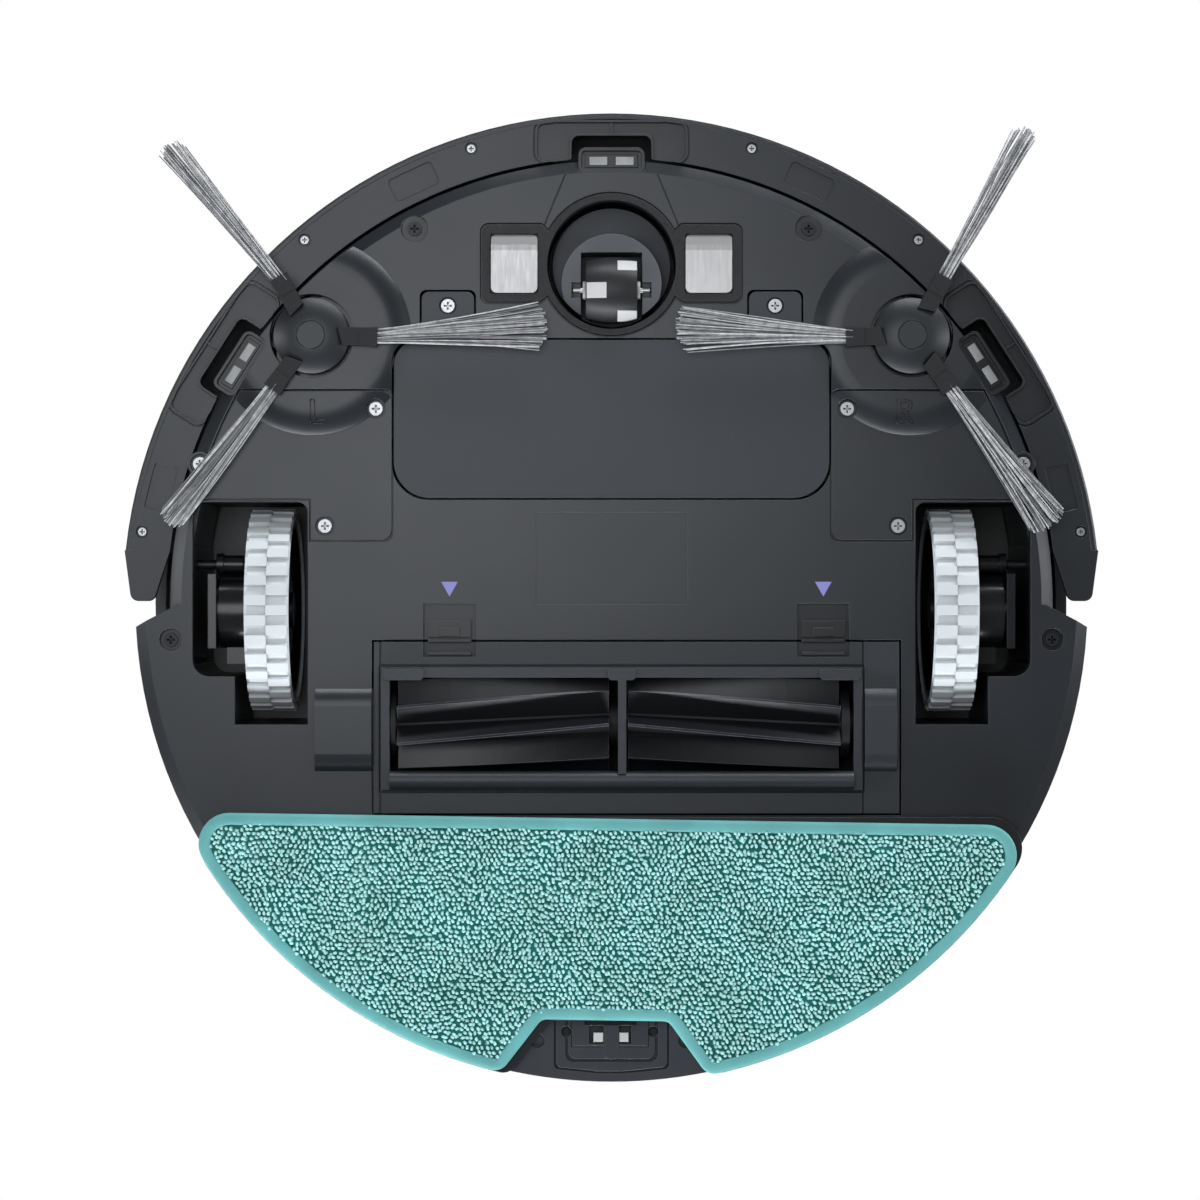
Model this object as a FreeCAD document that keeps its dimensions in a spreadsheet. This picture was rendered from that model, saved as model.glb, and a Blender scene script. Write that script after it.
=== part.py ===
import FreeCAD, Part
import math
import os
import re

import Sketcher

from FreeCAD import Placement, Rotation, Vector

# A robot vacuum with a mop, standing on its wheels: the floor is Z = 0, +Y is forward.
# The L and R marks under the machine name the sides as they are seen from below, so
# "left" is the +X side and "right" is the -X side.

doc = FreeCAD.newDocument("robot_vacuum")
sheet = doc.addObject("Spreadsheet::Sheet", "dims")

DIMS = {
    # housing
    "floor_gap": 9.5,
    "plate": 3,
    "body_radius": 170,
    "rim_radius": 157.5,
    "pan_radius": 153,
    "lip_top": 15.3,
    "wall": 2.2,
    "wall_base": 22.5,
    "cover_base": 70,
    "cover_plate": 77.6,
    "cover_top": 80,
    "seam": 0.7,
    "shoulder_x": 154.5,
    "shoulder_y": -1,
    # bumper
    "bumper_radius": 175,
    "bumper_base": 15.6,
    "bumper_top": 69,
    "bumper_tail": 18.5,
    "skirt_radius": 158.8,
    "skirt_thick": 3.2,
    "recess_floor": 17.5,
    "rib": 0.8,
    "moat": 0.6,
    "window_low": 30,
    "window_high": 52,
    # cliff sensors, on a circle round the body's axis
    "cliff_radius": 157.2,
    "cliff_turn": 57.3,
    "cliff_length": 23.6,
    "cliff_width": 9.3,
    "cliff_face": 11,
    "cliff_wall": 1.1,
    "cliff_floor": 13.6,
    "lens_pitch": 9.4,
    # caster
    "caster_y": 120,
    "socket_radius": 22.9,
    "socket_top": 38,
    "caster_trail": 9,
    "roller_radius": 12.2,
    "roller_half": 9.1,
    "pin_radius": 0.95,
    "stem_radius": 4,
    "fit": 0.05,
    # charging contacts
    "contact_x": 34.6,
    "contact_y": 120.3,
    "contact_width": 16.5,
    "contact_length": 20.8,
    "bezel_outer": 46,
    "ear_rear": 106.8,
    "ear_front": 134,
    "ear_inner": 25.4,
    # screws, each a distance from the middle and a place along Y
    "tab_screw_y": 105.3,
    "hub_screw_x": 83.8,
    "hub_screw_y": 68.7,
    "well_screw_x": 101.9,
    "well_screw_y": 27,
    "rim_screw_x": 146.4,
    "rim_screw_y": 49.1,
    "deep_screw_x": 156.8,
    "deep_screw_y": -13.4,
    "front_screw_x": 70.1,
    "front_screw_y": 132.8,
    # battery
    "battery_half": 77.4,
    "battery_rear": 37,
    "battery_front": 93.2,
    "tab_x": 58.2,
    "tab_half": 9.3,
    "tab_front": 110.3,
    # side brushes
    "hub_x": 106.4,
    "hub_y": 94.4,
    "hub_radius": 13.4,
    "hub_well": 14.8,
    "dome_radius": 35.2,
    "dome_face": 6.2,
    "arm_reach": 23.6,
    "clamp_start": 17.2,
    "bristle_reach": 84,
    "shaft_radius": 2.5,
    "module_front": 74.8,
    "module_inner": 78.2,
    "module_rear": 22.1,
    # drive wheels
    "well_inner": 108,
    "well_outer": 149,
    "well_front": 35.6,
    "well_rear": -26.5,
    "slot_outer": 134,
    "slot_rear": -43.6,
    "wheel_x": 122.2,
    "wheel_y": -2.9,
    "wheel_radius": 36.5,
    "wheel_half": 7.9,
    "tread_blocks": 32,
    "tread_depth": 1.3,
    "hub_disc": 29.8,
    "axle_radius": 3,
    "arm_near": 131.2,
    "arm_far": 141.6,
    "arm_rear": -16.6,
    "arm_front": 10,
    "arm_axis_y": -3.3,
    "arm_axis_z": 27,
    "pivot_y": 13.4,
    "pivot_z": 26.1,
    "pivot_radius": 1.7,
    # main brush
    "brush_x": -2.5,
    "brush_y": -43.4,
    "brush_z": 20,
    "brush_radius": 17.2,
    "brush_half": 78.6,
    "brush_gap": 3.4,
    "core_radius": 9,
    "blades": 8,
    "blade_twist": 24,
    # brush guard
    "guard_left": 84.5,
    "guard_right": -102.3,
    "guard_front": -14.2,
    "guard_rear": -75.2,
    "mouth_left": 81.8,
    "mouth_right": -89,
    "mouth_front": -23.2,
    "mouth_rear": -67.3,
    "block_front": -30.8,
    "block_rear": -60,
    "block_face": 6.4,
    "latch_left": 57.6,
    "latch_right": -75.3,
    "latch_half": 9.3,
    # dust box, water tank and mop
    "bay_half": 80,
    "bay_front": -84,
    "tank_radius": 170.6,
    "tank_split": 26,
    "tank_top": 68,
    "mop_radius": 171.2,
    "mop_front": -76.2,
    "cloth_thick": 4.4,
    "mop_top": 9.2,
    "notch_y": -148.3,
    "duct_left": 28,
    "duct_right": -32,
    "duct_low": 28,
    "duct_high": 40,
    "tank_lip_x": 20.5,
    "tank_lip_y": -166,
    "tank_tab_y": -160,
    "button_z": 48,
    "notch_half": 22,
    "leg_x": 36.2,
    # laser turret
    "turret_y": -28,
    "turret_radius": 39,
    "turret_base": 84,
    "turret_cap": 93,
    "turret_top": 96.5,
    # buttons
    "button_x": 13,
    "button_y": 112,
    "button_radius": 6.5,
    # works inside the housing
    "board_base": 62,
    "board_top": 63.6,
    "fan_x": -104,
    "fan_y": -101,
}

for row, (alias, size) in enumerate(DIMS.items(), 1):
    sheet.set(f"A{row}", alias)
    sheet.set(f"B{row}", str(size))
    sheet.setAlias(f"B{row}", alias)
doc.recompute()

NODES = {}


def formula(text):
    """A size as the document reads it, with the sheet's name before each alias."""
    return re.sub(r"[a-z][a-z_]+", lambda w: "dims." + w.group() if w.group() in DIMS else w.group(),
                  str(text))


def number(text):
    """The value in millimetres of a size written in the sheet's aliases."""
    found = sheet.evalExpression(formula(text))
    return float(getattr(found, "Value", found))


def bind(thing, **sizes):
    for name, size in sizes.items():
        thing.setExpression(name, formula(size))


def place(thing, x=0, y=0, z=0, axis=(0, 0, 1), angle=0):
    """Puts a thing at a point given by the sheet, turned about an axis through that point."""
    thing.Placement = Placement(Vector(), Rotation(Vector(*axis), angle))
    for name, size in zip("xyz", (x, y, z)):
        thing.setExpression(f"Placement.Base.{name}", formula(size))
    return thing


def box(name, xs, ys, zs):
    """A block between two X, two Y and two Z values."""
    solid = doc.addObject("Part::Box", name)
    for prop, (low, high) in zip(("Length", "Width", "Height"), (xs, ys, zs)):
        bind(solid, **{prop: f"({high}) - ({low})"})
    return place(solid, xs[0], ys[0], zs[0])


TURN = {"z": ((0, 0, 1), 0), "x": ((0, 1, 0), 90), "-x": ((0, 1, 0), -90), "y": ((1, 0, 0), -90)}


def rod(name, radius, start, end, x=0, y=0, z=0, along="z"):
    """A cylinder along X, Y or Z, from start to end on that axis."""
    solid = doc.addObject("Part::Cylinder", name)
    bind(solid, Radius=radius, Height=f"({end}) - ({start})")
    where = {"x": x, "y": y, "z": z}
    where[along] = start
    axis, angle = TURN[along]
    return place(solid, where["x"], where["y"], where["z"], axis, angle)


def fuse(name, *solids):
    joined = doc.addObject("Part::MultiFuse", name)
    joined.Shapes = list(solids)
    return joined


def common(name, *solids):
    shared = doc.addObject("Part::MultiCommon", name)
    shared.Shapes = list(solids)
    return shared


def cut(name, base, *tools):
    left = doc.addObject("Part::Cut", name)
    left.Base = base
    left.Tool = tools[0] if len(tools) == 1 else fuse(name + "_tools", *tools)
    return left


def turned_copy(name, source, angle, x=0, y=0):
    """The same piece again, turned about the upright axis and moved to x, y."""
    clone = doc.addObject("Part::Compound", name)
    clone.Links = [source]
    return place(clone, x, y, 0, angle=angle)


def arc_of(start, end, radius, side):
    """The arc between two points with a radius; it bulges to the right of the chord if side is 1."""
    chord = end - start
    middle = (start + end) * 0.5
    right = Vector(chord.y, -chord.x, 0).normalize()
    centre = middle - right * (side * math.sqrt(max(radius**2 - (chord.Length / 2) ** 2, 0)))
    first, last = (start, end) if side > 0 else (end, start)
    angles = [math.atan2(p.y - centre.y, p.x - centre.x) for p in (first, last)]
    if angles[1] < angles[0]:
        angles[1] += 2 * math.pi
    return Part.ArcOfCircle(Part.Circle(centre, Vector(0, 0, 1), radius), *angles)


def pin_point(sketch, index, end, axis, size):
    """Holds one coordinate of a point at a size from the sheet."""
    value = number(size)
    if abs(value) < 1e-9:
        sketch.addConstraint(Sketcher.Constraint("PointOnObject", index, end, -2 if axis == "X" else -1))
        return
    made = sketch.addConstraint(Sketcher.Constraint(f"Distance{axis}", -1, 1, index, end, value))
    sketch.renameConstraint(made, f"p{index}{axis.lower()}")
    sketch.setExpression(f"Constraints.p{index}{axis.lower()}", formula(size))


def outline(body, plane, points):
    """A closed sketch through points (x, y), where (x, y, radius, side) starts an arc."""
    sketch = body.newObject("Sketcher::SketchObject", body.Name + "_outline")
    origin = next(f for f in body.Origin.OriginFeatures if f.Role == plane)
    sketch.AttachmentSupport = [(origin, "")]
    sketch.MapMode = "FlatFace"
    spots = [Vector(number(p[0]), number(p[1]), 0) for p in points]
    ends = []
    for index, point in enumerate(points):
        start, end = spots[index], spots[(index + 1) % len(points)]
        if len(point) == 2:
            sketch.addGeometry(Part.LineSegment(start, end), False)
            ends.append((1, 2))
        else:
            sketch.addGeometry(arc_of(start, end, number(point[2]), point[3]), False)
            ends.append((1, 2) if point[3] > 0 else (2, 1))
            made = sketch.addConstraint(Sketcher.Constraint("Radius", index, number(point[2])))
            sketch.renameConstraint(made, f"r{index}")
            sketch.setExpression(f"Constraints.r{index}", formula(point[2]))
    for index, point in enumerate(points):
        before = (index - 1) % len(points)
        sketch.addConstraint(Sketcher.Constraint("Coincident", before, ends[before][1], index,
                                                 ends[index][0]))
        pin_point(sketch, index, ends[index][0], "X", point[0])
        pin_point(sketch, index, ends[index][0], "Y", point[1])
    return sketch


def prism(name, points, low, high):
    """An upright body with this outline, between two heights."""
    body = doc.addObject("PartDesign::Body", name)
    sketch = outline(body, "XY_Plane", points)
    pad = body.newObject("PartDesign::Pad", name + "_pad")
    pad.Profile = sketch
    bind(pad, Length=f"({high}) - ({low})")
    return place(body, 0, 0, low)


def lathe(name, points, x=0, y=0, z=0, along="z", angle=360):
    """A body turned about an axis, from points (distance from the axis, place along it)."""
    body = doc.addObject("PartDesign::Body", name)
    sketch = outline(body, "XZ_Plane", points)
    turn = body.newObject("PartDesign::Revolution", name + "_turn")
    turn.Profile = sketch
    turn.ReferenceAxis = (sketch, ["V_Axis"])
    turn.Angle = angle
    turn.Midplane = angle < 360
    axis, tilt = TURN[along]
    return place(body, x, y, z, axis, tilt)


def soften(body, radius, wanted, kind="Fillet"):
    """Rounds or bevels the edges of a body that wanted picks."""
    doc.recompute()
    base = body.Tip
    names = [f"Edge{i}" for i, edge in enumerate(base.Shape.Edges, 1) if wanted(edge)]
    if not names:
        raise RuntimeError(f"{body.Name} has no edge to soften")
    feature = body.newObject(f"PartDesign::{kind}", f"{base.Name}_{kind.lower()}")
    feature.Base = (base, names)
    bind(feature, **{"Radius" if kind == "Fillet" else "Size": radius})
    return body


def upright(edge):
    first, last = edge.Vertexes[0].Point, edge.Vertexes[-1].Point
    return abs(first.z - last.z) > 0.1 and (first - last).cross(Vector(0, 0, 1)).Length < 1e-6


def keep(label, solid):
    """Names a finished sub-part."""
    solid.Label = label
    NODES[label] = solid
    return solid


def shape_node(label, shape):
    """A sub-part that no stock feature makes, from a shape worked out here."""
    feature = doc.addObject("Part::Feature", label + "_solid")
    feature.Shape = shape
    feature.Placement = Placement(Vector(), Rotation())
    return keep(label, feature)


SIDES = {"left": 1, "right": -1}
CLIFF_TURNS = ("0", "cliff_turn", "-cliff_turn")


def polar(radius, turn):
    """X and Y of a point on a circle round the body's axis, turned from straight ahead."""
    return f"-({radius}) * sin({turn})", f"({radius}) * cos({turn})"


def side_points(side, points):
    """Points given for the +X side, mirrored if side is -1 and kept anticlockwise."""
    if side > 0:
        return points
    flipped = [(f"-({p[0]})", p[1]) for p in points[::-1]]
    for index, point in enumerate(points):
        if len(point) == 4:
            start = (len(points) - 2 - index) % len(points)
            flipped[start] = flipped[start] + point[2:]
    return flipped


def span(side, near, far):
    """The X limits of a piece between two distances from the middle, on one side."""
    return (near, far) if side > 0 else (f"-({far})", f"-({near})")


def turned_box(name, length, width, low, high, radius, turn):
    """A block set across a radius of the body, its middle at that radius."""
    block = doc.addObject("Part::Box", name + "_block")
    bind(block, Length=length, Width=width, Height=f"({high}) - ({low})")
    place(block, f"-({length}) / 2", f"({radius}) - ({width}) / 2", low)
    held = doc.addObject("Part::Compound", name)
    held.Links = [block]
    turn_value = number(turn)
    held.Placement = Placement(Vector(), Rotation(Vector(0, 0, 1), turn_value))
    return held


def turned_pan(name, length, width, corner, low, high, radius, turn):
    """A block with rounded corners set across a radius of the body, its middle at that radius."""
    long, wide = f"({length}) / 2", f"({width}) / 2"
    body = prism(name, [(long, f"-{wide}"), (long, wide), (f"-{long}", wide), (f"-{long}", f"-{wide}")], low,
                 high)
    soften(body, corner, upright)
    return place(body, *polar(radius, turn), low, angle=number(turn))


def compound(label, *solids):
    group = doc.addObject("Part::Compound", label + "_group")
    group.Links = list(solids)
    return keep(label, group)


def screw(name, x, y, face, head, shank, length, thick=1.6):
    """A cross-head screw seen from below: its head's face at a height, its shank above it."""
    top = rod(name + "_head", head, face, f"{face} + {thick}", x, y)
    stem = rod(name + "_shank", shank, f"{face} + {thick}", f"{face} + {length}", x, y)
    arm, slot, deep = f"({head}) * 0.58", f"({head}) * 0.14", f"{face} + 0.9"
    across = box(name + "_slot_x", (f"({x}) - {arm}", f"({x}) + {arm}"),
                 (f"({y}) - {slot}", f"({y}) + {slot}"),
                 (f"{face} - 1", deep))
    along = box(name + "_slot_y", (f"({x}) - {slot}", f"({x}) + {slot}"),
                (f"({y}) - {arm}", f"({y}) + {arm}"),
                (f"{face} - 1", deep))
    return cut(name, fuse(name + "_blank", top, stem), across, along)


def screw_seat(name, x, y, radius, depth, stem="1.15"):
    """The counterbore and the hole behind it for a screw put in from below."""
    return fuse(name, rod(name + "_bore", radius, "0", depth, x, y),
                rod(name + "_hole", stem, "0", f"{depth} + 4", x, y))


# ---------------------------------------------------------------- the zones of the housing
shoulder_far = "shoulder_y - (180 - shoulder_x) * 0.516"
rear_zone_points = [("shoulder_x", "shoulder_y"), ("-shoulder_x", "shoulder_y"), ("-180", shoulder_far),
                    ("-180", "-180"), ("180", "-180"), ("180", shoulder_far)]

bay_cut = box("bay_cut", ("-bay_half", "bay_half"), ("-200", "bay_front"), ("0", "cover_base"))
MOUTHS = {
    "battery": [("battery_half", "battery_front"), ("tab_x + tab_half", "battery_front"),
                ("tab_x + tab_half", "tab_front"), ("tab_x - tab_half", "tab_front"),
                ("tab_x - tab_half", "battery_front"), ("-(tab_x - tab_half)", "battery_front"),
                ("-(tab_x - tab_half)", "tab_front"), ("-(tab_x + tab_half)", "tab_front"),
                ("-(tab_x + tab_half)", "battery_front"), ("-battery_half", "battery_front"),
                ("-battery_half", "battery_rear"), ("battery_half", "battery_rear")],
}


def near(x, y, reach=1.5):
    """Picks the upright edges close to a point."""
    return lambda edge: upright(edge) and math.hypot(edge.Vertexes[0].X - number(x),
                                                     edge.Vertexes[0].Y - number(y)) < reach


def either(*tests):
    return lambda edge: any(test(edge) for test in tests)


def battery_prism(name, grow, low, high):
    """The battery cover's outline: a rounded plate with two tabs at its front."""
    points = []
    for x, y in MOUTHS["battery"]:
        sign_x = "-" if x.startswith("-") else "+"
        outer = x.strip("-()") not in ("tab_x - tab_half",)
        points.append((f"{x} {sign_x if outer else {'-': '+', '+': '-'}[sign_x]} {grow}",
                       f"{y} {'-' if y == 'battery_rear' else '+'} {grow}"))
    body = prism(name, points, low, high)
    for y, radius in (("battery_front", "9"), ("battery_rear", "13")):
        soften(body, radius, either(*[near(f"{s}battery_half", y) for s in ("", "-")]))
    tabs = [near(f"{s}(tab_x {d} tab_half)", "tab_front") for s in ("", "-") for d in "+-"]
    return soften(body, "2.5", either(*tabs))


def module_prism(name, side, grow, low, high):
    """The outline of the cover behind a side brush, from the inner seam out to the rim."""
    rim = f"(pan_radius - 1.2 + {grow})"
    front, well = f"(module_front + {grow})", f"(well_front + 1.2 - {grow})"
    points = [(f"module_inner - {grow}", f"module_rear - {grow}"),
              (f"well_inner - 1.2 + {grow}", f"module_rear - {grow}"),
              (f"well_inner - 1.2 + {grow}", well), (f"sqrt({rim}^2 - {well}^2)", well, rim, 1),
              (f"sqrt({rim}^2 - {front}^2)", front), (f"module_inner - {grow}", front)]
    body = prism(name, side_points(side, points), low, high)
    x = f"{side} * module_inner"
    return soften(body, "3.5", either(near(x, "module_rear"), near(x, "module_front")))


def well_prism(name, side, grow, low, high):
    """The opening for a drive wheel and its arm, with a slot behind the wheel for when it drops."""
    inner, slot = f"well_inner - {grow}", f"slot_outer + {grow}"
    outer, rear = f"well_outer + {grow}", f"well_rear - {grow}"
    points = [(inner, f"slot_rear - {grow}"), (slot, f"slot_rear - {grow}"), (slot, rear), (outer, rear),
              (outer, f"well_front + {grow}"), (inner, f"well_front + {grow}")]
    body = prism(name, side_points(side, points), low, high)
    soften(body, "6", near(f"{side} * well_outer", "well_rear", 3))
    return soften(body, "4", either(near(f"{side} * well_inner", "well_front", 3),
                                    near(f"{side} * well_outer", "well_front", 3)))


def strip(name, points, x_low, x_high):
    """A bar along X with this outline (y, z)."""
    body = doc.addObject("PartDesign::Body", name)
    sketch = outline(body, "YZ_Plane", points)
    pad = body.newObject("PartDesign::Pad", name + "_pad")
    pad.Profile = sketch
    bind(pad, Length=f"({x_high}) - ({x_low})")
    return place(body, x_low)


def rounded_block(name, x_low, x_high):
    """One of the raised blocks over the brush's ends, which slopes down in front and behind."""
    return strip(name, [("block_rear", "floor_gap + 1"), ("block_rear", "floor_gap - 0.4", "9", 1),
                        ("block_rear + 6", "block_face"), ("block_front - 6", "block_face", "9", 1),
                        ("block_front", "floor_gap - 0.4"), ("block_front", "floor_gap + 1")], x_low, x_high)


def bezel_prism(name, grow, low, high):
    """The textured plate round the caster and both charging contacts."""
    ears = []
    for tag, side in SIDES.items():
        rear, front, inner = f"ear_rear - {grow}", f"ear_front + {grow}", f"ear_inner - {grow}"
        points = [(f"bezel_outer + {grow}", rear), (f"bezel_outer + {grow}", front), (inner, front),
                  ("19", "129"),
                  ("19", "111.8"), (inner, rear)]
        ear = prism(f"{name}_{tag}", side_points(side, points), low, high)
        x = f"{side} * bezel_outer"
        soften(ear, "3", either(near(x, "ear_front"), near(x, "ear_rear")))
        ears.append(ear)
    ring = rod(f"{name}_ring", f"socket_radius + wall + {grow}", low, high, "0", "caster_y")
    return fuse(name, ring, *ears)


# ---------------------------------------------------------------- chassis base
pan = lathe("pan", [("0", "floor_gap"), ("pan_radius", "floor_gap"), ("rim_radius", "lip_top - 0.9"),
                    ("rim_radius", "lip_top"), ("pan_radius - 2.5", "lip_top"),
                    ("pan_radius - 2.5", "floor_gap + plate"), ("0", "floor_gap + plate")])
rear_pan = lathe("rear_pan", [("pan_radius - 6", "floor_gap"), ("body_radius - 4.5", "floor_gap"),
                              ("body_radius", "floor_gap + 5"), ("body_radius", "wall_base"),
                              ("body_radius - wall", "wall_base"), ("body_radius - wall", "floor_gap + 6"),
                              ("body_radius - 5.5", "floor_gap + plate"),
                              ("pan_radius - 6", "floor_gap + plate")])
pan_rear_zone = prism("pan_rear_zone", rear_zone_points, "0", "wall_base + 1")
base_parts = [pan, common("rear_pan_part", rear_pan, pan_rear_zone)]
base_cuts = []
domes = {}

for tag, side in SIDES.items():
    hub = f"{side} * hub_x"
    dome = lathe(f"dome_{tag}", [("0", "dome_face"), ("25", "dome_face", "16", 1),
                                 ("dome_radius", "floor_gap"),
                                 ("dome_radius", "floor_gap + 0.5"), ("0", "floor_gap + 0.5")], hub, "hub_y")
    limit = rod(f"dome_limit_{tag}", "rim_radius - 1.2", "0", "20")
    domes[tag] = common(f"dome_part_{tag}", dome, limit)
    base_parts.append(domes[tag])
    base_cuts.append(rod(f"hub_hole_{tag}", "hub_well", "0", "30", hub, "hub_y"))
    base_parts.append(rod(f"rim_boss_{tag}", "4.4", "floor_gap + 0.3", "lip_top", f"{side} * rim_screw_x",
                          "rim_screw_y"))
    base_parts.append(rod(f"board_post_front_{tag}", "3", "floor_gap + 2.5", "board_base", f"{side} * 54",
                          "116"))
    base_parts.append(rod(f"board_post_rear_{tag}", "3", "floor_gap + 2.5", "board_base", f"{side} * 84",
                          "30"))
    base_cuts.append(well_prism(f"well_{tag}", side, "0", "0", "90"))
    base_cuts.append(module_prism(f"module_well_{tag}", side, "seam", "0", "floor_gap + 2"))
    base_cuts.append(screw_seat(f"deep_seat_{tag}", f"{side} * deep_screw_x", "deep_screw_y", "3.9",
                                "floor_gap + 2"))
    base_cuts.append(screw_seat(f"front_seat_{tag}", f"{side} * front_screw_x", "front_screw_y", "4.8",
                                "floor_gap + 2"))
    base_cuts.append(screw_seat(f"rim_seat_{tag}", f"{side} * rim_screw_x", "rim_screw_y", "3.4",
                                "floor_gap + 1.5"))

motor_block = rounded_block("motor_block", "guard_left + seam", "105.4")
base_parts.append(motor_block)
guard_seat = box("guard_seat", ("guard_right - seam", "guard_left + seam"),
                 ("guard_rear - seam", "guard_front + seam"),
                 ("0", "40"))
for tag, side in SIDES.items():
    line = [("16", "152.6"), ("16.45", "152.6"), ("24.45", "133"), ("24", "133")]
    base_cuts.append(prism(f"front_line_{tag}", side_points(side, line[::-1]), "0", "floor_gap + 0.5"))
base_cuts += [guard_seat, battery_prism("battery_seat", "seam", "0", "floor_gap + plate + 1"),
              bezel_prism("bezel_seat", "seam", "0", "floor_gap + 2"),
              rod("socket_hole", "socket_radius + wall + 0.1", "0", "40", "0", "caster_y"),
              box("label_recess", ("-27", "27"), ("-0.8", "31.9"), ("0", "floor_gap + 0.25")), bay_cut]
for tag, x in (("left", "latch_left"), ("right", "latch_right")):
    base_cuts.append(box(f"latch_recess_{tag}", (f"{x} - latch_half", f"{x} + latch_half"),
                         ("guard_front", "-0.5"),
                         ("0", "floor_gap + 2")))
for index, turn in enumerate(CLIFF_TURNS):
    base_cuts.append(turned_pan(f"cliff_seat_{index}", "cliff_length + 0.1", "cliff_width + 0.1", "2.6", "0",
                                "lip_top + 1", "cliff_radius", turn))
keep("chassis_base", cut("chassis_base_cut", fuse("chassis_base_blank", *base_parts), *base_cuts))

# ---------------------------------------------------------------- walls and top cover
rear_wall = lathe("rear_wall", [("body_radius - wall", "wall_base"), ("body_radius", "wall_base"),
                                ("body_radius", "cover_base"), ("body_radius - wall", "cover_base")])
wall_zone = prism("wall_zone", rear_zone_points, "0", "100")
front_wall = lathe("front_wall", [("pan_radius - wall", "lip_top"), ("pan_radius", "lip_top"),
                                  ("pan_radius", "cover_plate"), ("pan_radius - wall", "cover_plate")])
front_zone = box("front_zone", ("-180", "180"), ("shoulder_y - wall", "180"), ("0", "100"))
shell_parts = [common("rear_wall_part", rear_wall, wall_zone),
               common("front_wall_part", front_wall, front_zone)]
for tag, side in SIDES.items():
    web = [("pan_radius - 1", "shoulder_y"), ("pan_radius - 1", "shoulder_y - wall"),
           ("body_radius - 1", "shoulder_y - 10.3"), ("body_radius - 0.3", "shoulder_y - 8"),
           ("shoulder_x", "shoulder_y")]
    shell_parts.append(prism(f"shoulder_{tag}", side_points(side, web), "wall_base", "cover_base"))
    shell_parts.append(box(f"bay_side_{tag}", span(side, "bay_half", "bay_half + wall"),
                           ("-145", "bay_front"),
                           ("lip_top", "cover_base")))
shell_parts.append(box("bay_front_wall", ("-bay_half - wall", "bay_half + wall"),
                       ("bay_front", "bay_front + wall"),
                       ("floor_gap + plate", "cover_base")))
shell_cuts = [box("bay_clear", ("-bay_half", "bay_half"), ("-200", "bay_front"), ("0", "cover_base + 1")),
              box("inlet_hole", ("duct_right", "duct_left"), ("bay_front - 1", "bay_front + wall + 1"),
                  ("duct_low", "duct_high + 2"))]
keep("body_shell", cut("body_shell_cut", fuse("body_shell_blank", *shell_parts), *shell_cuts))

cover = lathe("cover", [("0", "cover_plate"), ("body_radius - 4", "cover_plate"),
                        ("body_radius - 4", "cover_base"),
                        ("body_radius", "cover_base"), ("body_radius", "cover_top - 4"),
                        ("body_radius - 4", "cover_top"), ("0", "cover_top")])
cover_cuts = [rod("button_hole_left", "button_radius + 0.3", "60", "90", "button_x", "button_y"),
              rod("button_hole_right", "button_radius + 0.3", "60", "90", "-button_x", "button_y"),
              rod("turret_shaft_hole", "6", "60", "90", "0", "turret_y")]
keep("top_cover", cut("top_cover_cut", cover, *cover_cuts))

# ---------------------------------------------------------------- brush chamber
chamber_outer = box("chamber_outer", ("guard_right + 0.5", "guard_left - 0.2"),
                    ("guard_rear + 0.2", "guard_front - 0.2"),
                    ("floor_gap + 3.2", "42"))
chamber_inner = box("chamber_inner", ("mouth_right - 1.5", "mouth_left + 0.5"),
                    ("mouth_rear + 1.5", "mouth_front - 0.5"),
                    ("0", "40"))
chamber_cuts = [chamber_inner,
                box("chamber_outlet", ("duct_right", "duct_left"), ("guard_rear - 1", "mouth_rear + 2"),
                    ("duct_low", "duct_high - 1")),
                rod("drive_hole", "4.5", "mouth_left", "guard_left + 1", y="brush_y", z="brush_z", along="x"),
                rod("bearing_hole", "3 + fit", "guard_right", "mouth_right", y="brush_y", z="brush_z",
                    along="x")]
duct = box("duct", ("duct_right - 2", "duct_left + 2"), ("bay_front + wall", "guard_rear + 0.2"),
           ("duct_low - 2", "duct_high + 2"))
duct_bore = box("duct_bore", ("duct_right", "duct_left"), ("bay_front", "guard_rear + 1"),
                ("duct_low", "duct_high"))
chamber = cut("chamber_hull", chamber_outer, *chamber_cuts)
keep("brush_chamber", fuse("brush_chamber_all", chamber, cut("duct_hull", duct, duct_bore)))

# ---------------------------------------------------------------- battery and its cover
cover_plate = battery_prism("battery_plate", "0", "floor_gap", "floor_gap + 2.6")
keep("battery_cover", cut("battery_cover_cut", cover_plate,
                          *[screw_seat(f"battery_screw_seat_{n}", f"{s}tab_x", "tab_screw_y", "3.1",
                                       "floor_gap + 1.5")
                            for n, s in enumerate(("", "-"))]))
pack = prism("pack", [("69", "45"), ("69", "86"), ("-69", "86"), ("-69", "45")], "floor_gap + 2.6", "49.5")
soften(pack, "8", lambda e: abs(e.Vertexes[0].X + e.Vertexes[-1].X) < 1e-6 and abs(e.Vertexes[0].X) > 60)
keep("battery_pack", pack)

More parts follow.
